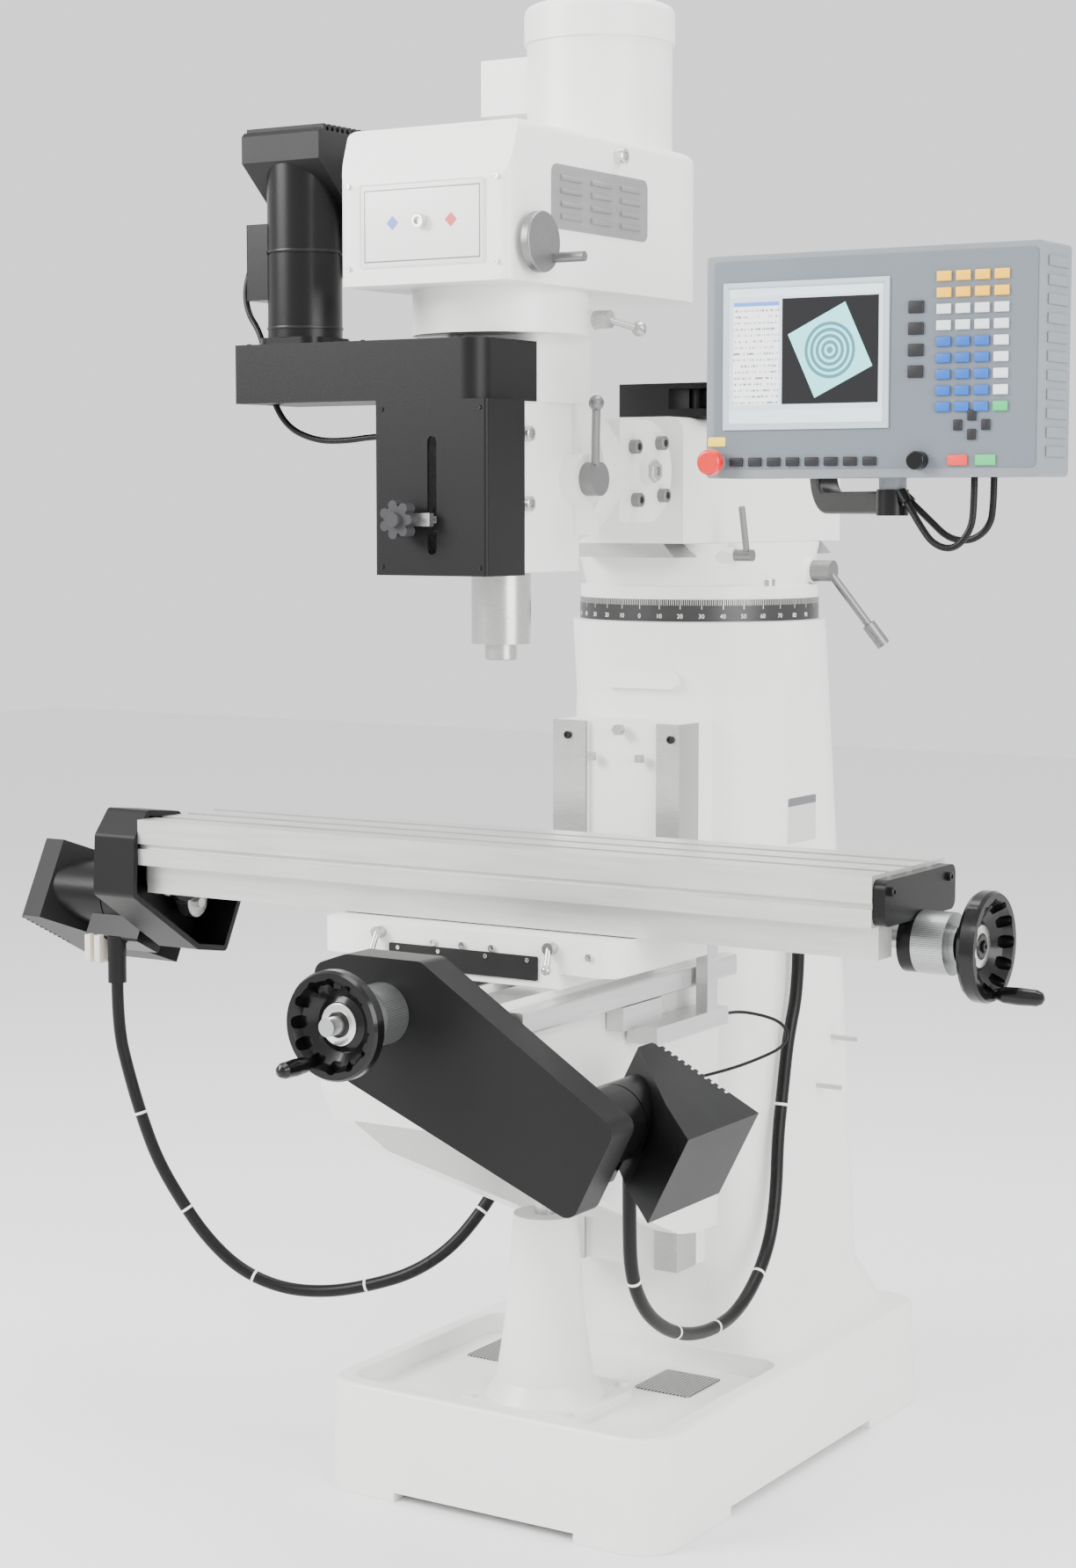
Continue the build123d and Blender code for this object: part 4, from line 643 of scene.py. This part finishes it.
numeral_paint = moulded("numeral_paint", (0.75, 0.75, 0.73), 0.5, 300.0, 0.00002)
numerals = []
NUMERAL_FOOT = 1.3055
for degree in range(-90, 91, 10):
    bpy.ops.object.select_all(action="DESELECT")
    bpy.ops.object.text_add()
    figure = bpy.context.object
    figure.data.body = str(abs(degree))
    figure.data.size = 0.0095
    figure.data.extrude = 0.0001
    figure.data.align_x = "CENTER"
    bpy.ops.object.convert(target="MESH")
    for v in figure.data.vertices:
        angle = math.radians(degree) + v.co.x / BAND_RADIUS
        reach = BAND_RADIUS + 0.0001 + v.co.z
        across, along = reach * math.sin(angle), TURRET_MIDDLE_Y - reach * math.cos(angle)
        v.co = (across, along, NUMERAL_FOOT + v.co.y)
    numerals.append(figure)
numerals = join("swivel_numerals", numerals, numeral_paint)
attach(numerals, "turret")


# ---------------------------------------------------------------- belt housing panels
# The speed panel is a printed plate on the housing's front, and the louvred plate
# over the belt is pressed steel, screwed to its right side.
def plate(name, low, high, round_by, finish, body):
    """A thin plate between two corners, with its own corners rounded."""
    size = Vector(high) - Vector(low)
    bpy.ops.object.select_all(action="DESELECT")
    bpy.ops.mesh.primitive_cube_add(size=1, location=(Vector(low) + Vector(high)) / 2)
    made = bpy.context.object
    made.scale = size
    bpy.ops.object.transform_apply(location=True, rotation=True, scale=True)
    thin = min(range(3), key=lambda i: size[i])
    bpy.ops.object.mode_set(mode="EDIT")
    bpy.ops.mesh.select_all(action="DESELECT")
    bpy.ops.object.mode_set(mode="OBJECT")
    for edge in made.data.edges:
        a, b = [made.data.vertices[i].co for i in edge.vertices]
        edge.select = abs(a[thin] - b[thin]) > size[thin] * 0.5
    bpy.ops.object.mode_set(mode="EDIT")
    bpy.ops.mesh.select_mode(type="EDGE")
    bpy.ops.mesh.bevel(offset=round_by, segments=5, affect="EDGES")
    bpy.ops.mesh.select_mode(type="FACE")
    bpy.ops.object.mode_set(mode="OBJECT")
    piece = join(name, [made], finish)
    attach(piece, body)


housing_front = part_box("belt_housing")[0].y
PANEL_HALF = 0.102
PANEL_Z = (1.803, 1.915)
PANEL_FRONT = housing_front - 0.0015
LEGEND_Z = 1.862
LEGEND_X = 0.048
ARROW_REACH = 0.010
BORDER_OUT = 0.0955
PANEL_COLOUR = (0.8, 0.8, 0.78)
panel = Finish("speed_plate", PANEL_COLOUR, 0.3)
aside = panel.x.maths("ABSOLUTE")
border_x = aside.between(0.0935, BORDER_OUT) * panel.z.between(1.811, 1.906)
border_z = panel.z.between(1.8095, 1.8115).maths("MAXIMUM", panel.z.between(1.9055, 1.9075))
border = border_x.maths("MAXIMUM", (aside < BORDER_OUT) * border_z)
tone = panel.blend(border, PANEL_COLOUR, (0.18, 0.18, 0.2))
above_legend = (panel.z - LEGEND_Z).maths("ABSOLUTE")
for arrow_x, ink in ((-LEGEND_X, (0.12, 0.2, 0.6)), (LEGEND_X, (0.6, 0.1, 0.08))):
    arrow = ((panel.x - arrow_x).maths("ABSOLUTE") + above_legend) < ARROW_REACH
    tone = panel.blend(arrow, tone, ink)
panel.feed(Base_Color=tone, Roughness=0.26 + panel.noise(40.0) * 0.1)
plate(
    "speed_plate", (-PANEL_HALF, PANEL_FRONT, PANEL_Z[0]), (PANEL_HALF, housing_front, PANEL_Z[1]),
    0.003, panel, "head",
)
screws(
    "speed_plate_screws", "head", 0.0036, 0.0025,
    [(x, housing_front - 0.001, z) for x in (-0.122, 0.122) for z in PANEL_Z],
    FRONT, plated,
)
screws(
    "speed_plate_knob", "head", 0.010, 0.010, [(0, PANEL_FRONT, LEGEND_Z)],
    FRONT, plated, 32,
)

LOUVRE_Y = (-0.484, -0.225)
LOUVRE_Z = (1.855, 1.942)
HOUSING_SIDE = 0.140
SLAT_STEP = 0.0175
grey_plate = metal("louvre_plate", (0.32, 0.32, 0.32), 0.45, (1, 0.05, 1), 0.6)
plate(
    "louvre_plate", (HOUSING_SIDE, LOUVRE_Y[0], LOUVRE_Z[0]),
    (HOUSING_SIDE + 0.0018, LOUVRE_Y[1], LOUVRE_Z[1]), 0.012, grey_plate, "head",
)
slats = []
for column in (-0.435, -0.355, -0.275):
    for row in range(4):
        bpy.ops.object.select_all(action="DESELECT")
        bpy.ops.mesh.primitive_cylinder_add(
            vertices=20, radius=0.0042, depth=0.055,
            location=(HOUSING_SIDE + 0.0012, column, 1.872 + row * SLAT_STEP),
            rotation=(math.radians(90), 0, 0),
        )
        slat = bpy.context.object
        bpy.ops.object.mode_set(mode="EDIT")
        bpy.ops.mesh.bevel(offset=0.0015, segments=2, affect="EDGES")
        bpy.ops.object.mode_set(mode="OBJECT")
        slats.append(slat)
louvres = join("louvre_slats", slats, grey_plate)
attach(louvres, "head")


# ---------------------------------------------------------------- sump strainers
# Two perforated plates lie in the tray's floor, over the coolant drains. Their perforations are not cut:
# near-black dots paint the shade seen through them.
mesh_steel = metal("perforated_steel", (0.3, 0.3, 0.3), 0.45, (1, 1, 1), 0.7)
HOLES_PER_METRE = 160
PAST_ZERO = 800
cell_x = (mesh_steel.x * HOLES_PER_METRE + PAST_ZERO).maths("FRACT") - 0.5
cell_y = (mesh_steel.y * HOLES_PER_METRE + PAST_ZERO).maths("FRACT") - 0.5
# Painted shade: near-black dots on the flat plate stand for the shadowed drain seen through each
# perforation.
painted_shade_holes = (cell_x * cell_x + cell_y * cell_y) < 0.09
mesh_steel.feed(Base_Color=mesh_steel.blend(painted_shade_holes, (0.34, 0.34, 0.34), (0.02, 0.02, 0.02)))
for name, left, right in (("strainer_left", -0.225, -0.157), ("strainer_right", 0.083, 0.178)):
    plate(
        name, (left, -0.152, 0.1352), (right, -0.048, 0.1372), 0.004, mesh_steel,
        "frame",
    )


# ---------------------------------------------------------------- head and ram fittings
# Big cap bolts clamp the adapter's knuckle and the head's flange, round a pivot nut.
# A small lock screw and the motor's turned seams finish the upper works.
KNUCKLE_MIDDLE = (-0.150, 1.529)
KNUCKLE_CIRCLE = 0.055
knuckle_bolts = [
    (0.098, KNUCKLE_MIDDLE[0] + KNUCKLE_CIRCLE * math.cos(angle),
     KNUCKLE_MIDDLE[1] + KNUCKLE_CIRCLE * math.sin(angle))
    for angle in map(math.radians, (50, 140, 230, 320))
]
pivot_nut = [(0.110, *KNUCKLE_MIDDLE)]
housing_lock = [(HOUSING_SIDE, -0.309, 1.968)]
screws("knuckle_bolts", "adapter", 0.0105, 0.012, knuckle_bolts, SIDE, dark_steel)
screws("knuckle_pivot_nut", "adapter", 0.017, 0.006, pivot_nut, SIDE, steel, 6)
screws("housing_lock", "head", 0.011, 0.014, housing_lock, SIDE, plated, 32)
screws(
    "column_front_screws", "frame", 0.006, 0.004,
    [(x, -0.073, 1.125) for x in (-0.085, 0.098)], FRONT, black_screw,
)


def soften(made, width):
    """Rounds a piece's sharp edges."""
    rounding = made.modifiers.new("soften", "BEVEL")
    rounding.width = width
    rounding.segments = 2
    bpy.ops.object.modifier_apply(modifier="soften")


def seam(name, body, middle, radius, finish):
    """A narrow turned band round a motor's body."""
    bpy.ops.object.select_all(action="DESELECT")
    bpy.ops.mesh.primitive_cylinder_add(
        vertices=64, radius=radius, depth=0.004, end_fill_type="NOTHING", location=middle
    )
    ring = bpy.context.object
    wall = ring.modifiers.new("wall", "SOLIDIFY")
    wall.thickness = 0.0012
    wall.offset = 1
    bpy.ops.object.modifier_apply(modifier="wall")
    soften(ring, 0.0004)
    piece = join(name, [ring], finish)
    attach(piece, body)


Z_MOTOR_AXIS = (-0.266, -0.500)
for name, height in (("z_motor_seam_low", 1.731), ("z_motor_seam_high", 1.839)):
    seam(name, "head", (*Z_MOTOR_AXIS, height), 0.0535, black_screw)


# ---------------------------------------------------------------- way wiper and plates
# A black wiper plate on the saddle's front closes the gap over the knee's ways. A blank
# data plate is riveted to the column's side, and a raised panel stands on its front.
WIPER_FRONT = -0.4985
wiper = moulded("wiper_rubber", (0.015, 0.015, 0.015), 0.5, 300.0, 0.0001)
plate(
    "way_wiper", (-0.126, WIPER_FRONT, 0.818), (0.126, SADDLE_FRONT, 0.852), 0.002, wiper,
    "saddle",
)
screws(
    "wiper_screws", "saddle", 0.0032, 0.0014,
    [(x, WIPER_FRONT, 0.846) for x in (-0.11, -0.04, 0.04, 0.11)], FRONT, plated,
)
HEADER_FOOT = 1.007
blank = Finish("blank_plate", (0.66, 0.66, 0.64), 0.35, 0.3)
header = blank.z > HEADER_FOOT
blank.feed(
    Base_Color=blank.blend(header, (0.68, 0.68, 0.66), (0.16, 0.16, 0.17)),
    Roughness=0.3 + blank.noise(50.0) * 0.1,
)
plate(
    "column_plate", (0.1825, 0.150, 0.948), (0.1846, 0.245, 1.020), 0.003, blank, "frame"
)
plate(
    "raised_plate", (-0.066, -0.003, 1.196), (0.066, 0.020, 1.226), 0.012, cream,
    "frame",
)


# ---------------------------------------------------------------- table drive connectors
# Two beige plug hoods hang under the drive's connector box, beside the loom's gland.
beige = moulded("beige_hood", (0.55, 0.52, 0.44), 0.45, 200.0, 0.0001)
hoods = []
for x in (-0.806, -0.826):
    bpy.ops.object.select_all(action="DESELECT")
    bpy.ops.mesh.primitive_cube_add(size=1, location=(x, -0.337, 0.768))
    hood = bpy.context.object
    hood.scale = (0.012, 0.034, 0.040)
    bpy.ops.object.transform_apply(location=True, rotation=True, scale=True)
    pick_faces(hood, lambda normal: normal.z < -0.9)
    bpy.ops.mesh.inset(thickness=0.0028, depth=0.006)
    bpy.ops.object.mode_set(mode="OBJECT")
    soften(hood, 0.0012)
    hoods.append(hood)
plug_hoods = join("drive_plug_hoods", hoods, beige)
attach(plug_hoods, "table_unit")


# ---------------------------------------------------------------- console
# A folded steel case, painted grey, with a blue-grey printed face. The screen sits in
# a bezel, and the keys are moulded caps in coloured groups.
FACE_Y = -0.480
CASE_LEFT = 0.381
CASE_TOP = 1.804
case_paint = moulded("console_paint", (0.17, 0.185, 0.2), 0.42, 700.0, 0.0002)
dress(case_paint, "console_case")
print_grey = moulded("console_face_print", (0.115, 0.135, 0.155), 0.4, 600.0, 0.00005)
plate(
    "console_face", (CASE_LEFT + 0.012, FACE_Y - 0.0012, 1.526), (0.846, FACE_Y, CASE_TOP - 0.008),
    0.006, print_grey, "console",
)

SCREEN_X = (0.415, 0.638)
SCREEN_Z = (1.585, 1.760)
bpy.ops.object.select_all(action="DESELECT")
bpy.ops.mesh.primitive_cube_add(
    size=1,
    location=(sum(SCREEN_X) / 2, FACE_Y - 0.0022, sum(SCREEN_Z) / 2),
)
bezel = bpy.context.object
bezel.scale = (SCREEN_X[1] - SCREEN_X[0] + 0.016, 0.003, SCREEN_Z[1] - SCREEN_Z[0] + 0.016)
bpy.ops.object.transform_apply(location=True, rotation=True, scale=True)
pick_faces(bezel, lambda normal: normal.y < -0.9)
bpy.ops.mesh.inset(thickness=0.006, depth=0)
bpy.ops.mesh.inset(thickness=0.002, depth=-0.0022)
bpy.ops.object.mode_set(mode="OBJECT")
bezel = join("screen_bezel", [bezel], moulded("bezel_paint", (0.4, 0.45, 0.5), 0.35, 500.0, 0.0001))
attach(bezel, "console")

screen = Finish("screen_picture", (0.01, 0.01, 0.012), 0.12)
sx = (screen.x - SCREEN_X[0]) * (1 / (SCREEN_X[1] - SCREEN_X[0]))
sz = (screen.z - SCREEN_Z[0]) * (1 / (SCREEN_Z[1] - SCREEN_Z[0]))
listing = sx.between(0.03, 0.33) * sz.between(0.14, 0.9)
chosen = sx.between(0.03, 0.33) * sz.between(0.87, 0.9)
strip = (sz < 0.1).maths("MAXIMUM", sz > 0.94)
view_area = sx.between(0.35, 0.97) * sz.between(0.14, 0.92)
u = (sx - 0.66) * 1.28
v = sz - 0.53
across, up = u * 0.9 + v * 0.43, v * 0.9 - u * 0.43
tile = (across.maths("ABSOLUTE") < 0.26) * (up.maths("ABSOLUTE") < 0.26)
spread = (across * across + up * up).maths("SQRT")
rings = ((spread * 22).maths("FRACT") < 0.55) * (spread < 0.22)
picture = screen.blend(view_area, (0.55, 0.62, 0.68), (0.005, 0.005, 0.006))
picture = screen.blend(tile * view_area, picture, (0.25, 0.72, 0.76))
picture = screen.blend(rings * view_area, picture, (0.06, 0.2, 0.24))
picture = screen.blend(listing, picture, (0.82, 0.84, 0.83))
row = (sz * 22).maths("FRACT")
lines_mask = listing * row.between(0.25, 0.6) * (screen.noise(60.0, 1.0, (9, 1, 1)) > 0.52)
picture = screen.blend(lines_mask, picture, (0.2, 0.22, 0.25))
picture = screen.blend(chosen, picture, (0.1, 0.25, 0.7))
picture = screen.blend(strip, picture, (0.62, 0.7, 0.75))
screen.feed(Base_Color=picture, Emission_Color=picture)
screen.shader.inputs["Emission Strength"].default_value = 0.45
plate(
    "screen_glass", (SCREEN_X[0], FACE_Y - 0.0022, SCREEN_Z[0]),
    (SCREEN_X[1], FACE_Y - 0.0016, SCREEN_Z[1]), 0.002, screen, "console",
)


def keycaps(name, places, size, colour, crown=0.0012):
    """Moulded caps standing on the face: each has a drawn-in, slightly crowned top."""
    caps = []
    for x, z in places:
        bpy.ops.object.select_all(action="DESELECT")
        bpy.ops.mesh.primitive_cube_add(size=1, location=(x, FACE_Y - 0.0025, z))
        cap = bpy.context.object
        cap.scale = (size[0], 0.003, size[1])
        bpy.ops.object.transform_apply(location=True, rotation=True, scale=True)
        pick_faces(cap, lambda normal: normal.y < -0.9)
        bpy.ops.mesh.inset(thickness=0.0014, depth=crown)
        bpy.ops.object.mode_set(mode="OBJECT")
        soften(cap, 0.0008)
        caps.append(cap)
    piece = join(name, caps, moulded(name + "_resin", colour, 0.4, 300.0, 0.00005))
    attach(piece, "console")
    return piece


def pad(rows, columns):
    """The middles of keys on the main pad, by row from the top and column from the left."""
    left, top = CASE_LEFT + 0.340, CASE_TOP - 0.039
    return [(left + column * 0.026, top - row * 0.0204) for row in rows for column in columns]


DARK_KEY = (0.018, 0.018, 0.02)
KEY = (0.0195, 0.0125)
BUTTON_Z = 1.535
pad_tops = keycaps("yellow_keys", pad((0, 1), range(4)), KEY, (0.88, 0.45, 0.004))
keycaps("white_keys", pad((2, 3), range(4)) + pad((4, 5, 6, 7), (3,)), KEY, (0.62, 0.66, 0.66))
keycaps("blue_keys", pad((4, 5, 6, 7, 8), range(3)), KEY, (0.006, 0.09, 0.4))
keycaps("enter_key", pad((8,), (3,)), KEY, (0.02, 0.4, 0.12))
soft_places = [(CASE_LEFT + 0.046 + i * 0.0276, BUTTON_Z) for i in range(8)]
keycaps("soft_keys", soft_places, (0.019, 0.0115), DARK_KEY)
side_places = [(CASE_LEFT + 0.302, CASE_TOP - 0.076 - i * 0.027) for i in range(4)]
keycaps("side_keys", side_places, (0.021, 0.0155), DARK_KEY)
keycaps("stop_key", [(CASE_LEFT + 0.361, BUTTON_Z)], (0.027, 0.0135), (0.62, 0.03, 0.02))
keycaps("start_key", [(CASE_LEFT + 0.399, BUTTON_Z)], (0.027, 0.0135), (0.03, 0.42, 0.13))
arrow_places = [
    (CASE_LEFT + 0.380 + across, BUTTON_Z + 0.042 + up)
    for across, up in ((0, 0.014), (-0.019, 0.002), (0.019, 0.002), (0, -0.010))
]
keycaps("arrow_keys", arrow_places, (0.0115, 0.0135), DARK_KEY)
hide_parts("console_keys")

ribs = []
for i in range(11):
    bpy.ops.object.select_all(action="DESELECT")
    bpy.ops.mesh.primitive_cube_add(size=1, location=(0.8552, -0.436, 1.545 + i * 0.0235))
    rib = bpy.context.object
    rib.scale = (0.0026, 0.066, 0.013)
    bpy.ops.object.transform_apply(location=True, rotation=True, scale=True)
    soften(rib, 0.0011)
    ribs.append(rib)
side_ribs = join("console_side_ribs", ribs, case_paint)
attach(side_ribs, "console")
yellow = moulded("yellow_tag_print", (0.85, 0.62, 0.03), 0.45, 300.0, 0.00002)
plate(
    "stop_tag", (0.384, FACE_Y - 0.0018, 1.556), (0.410, FACE_Y - 0.0008, 1.568), 0.002, yellow,
    "console",
)
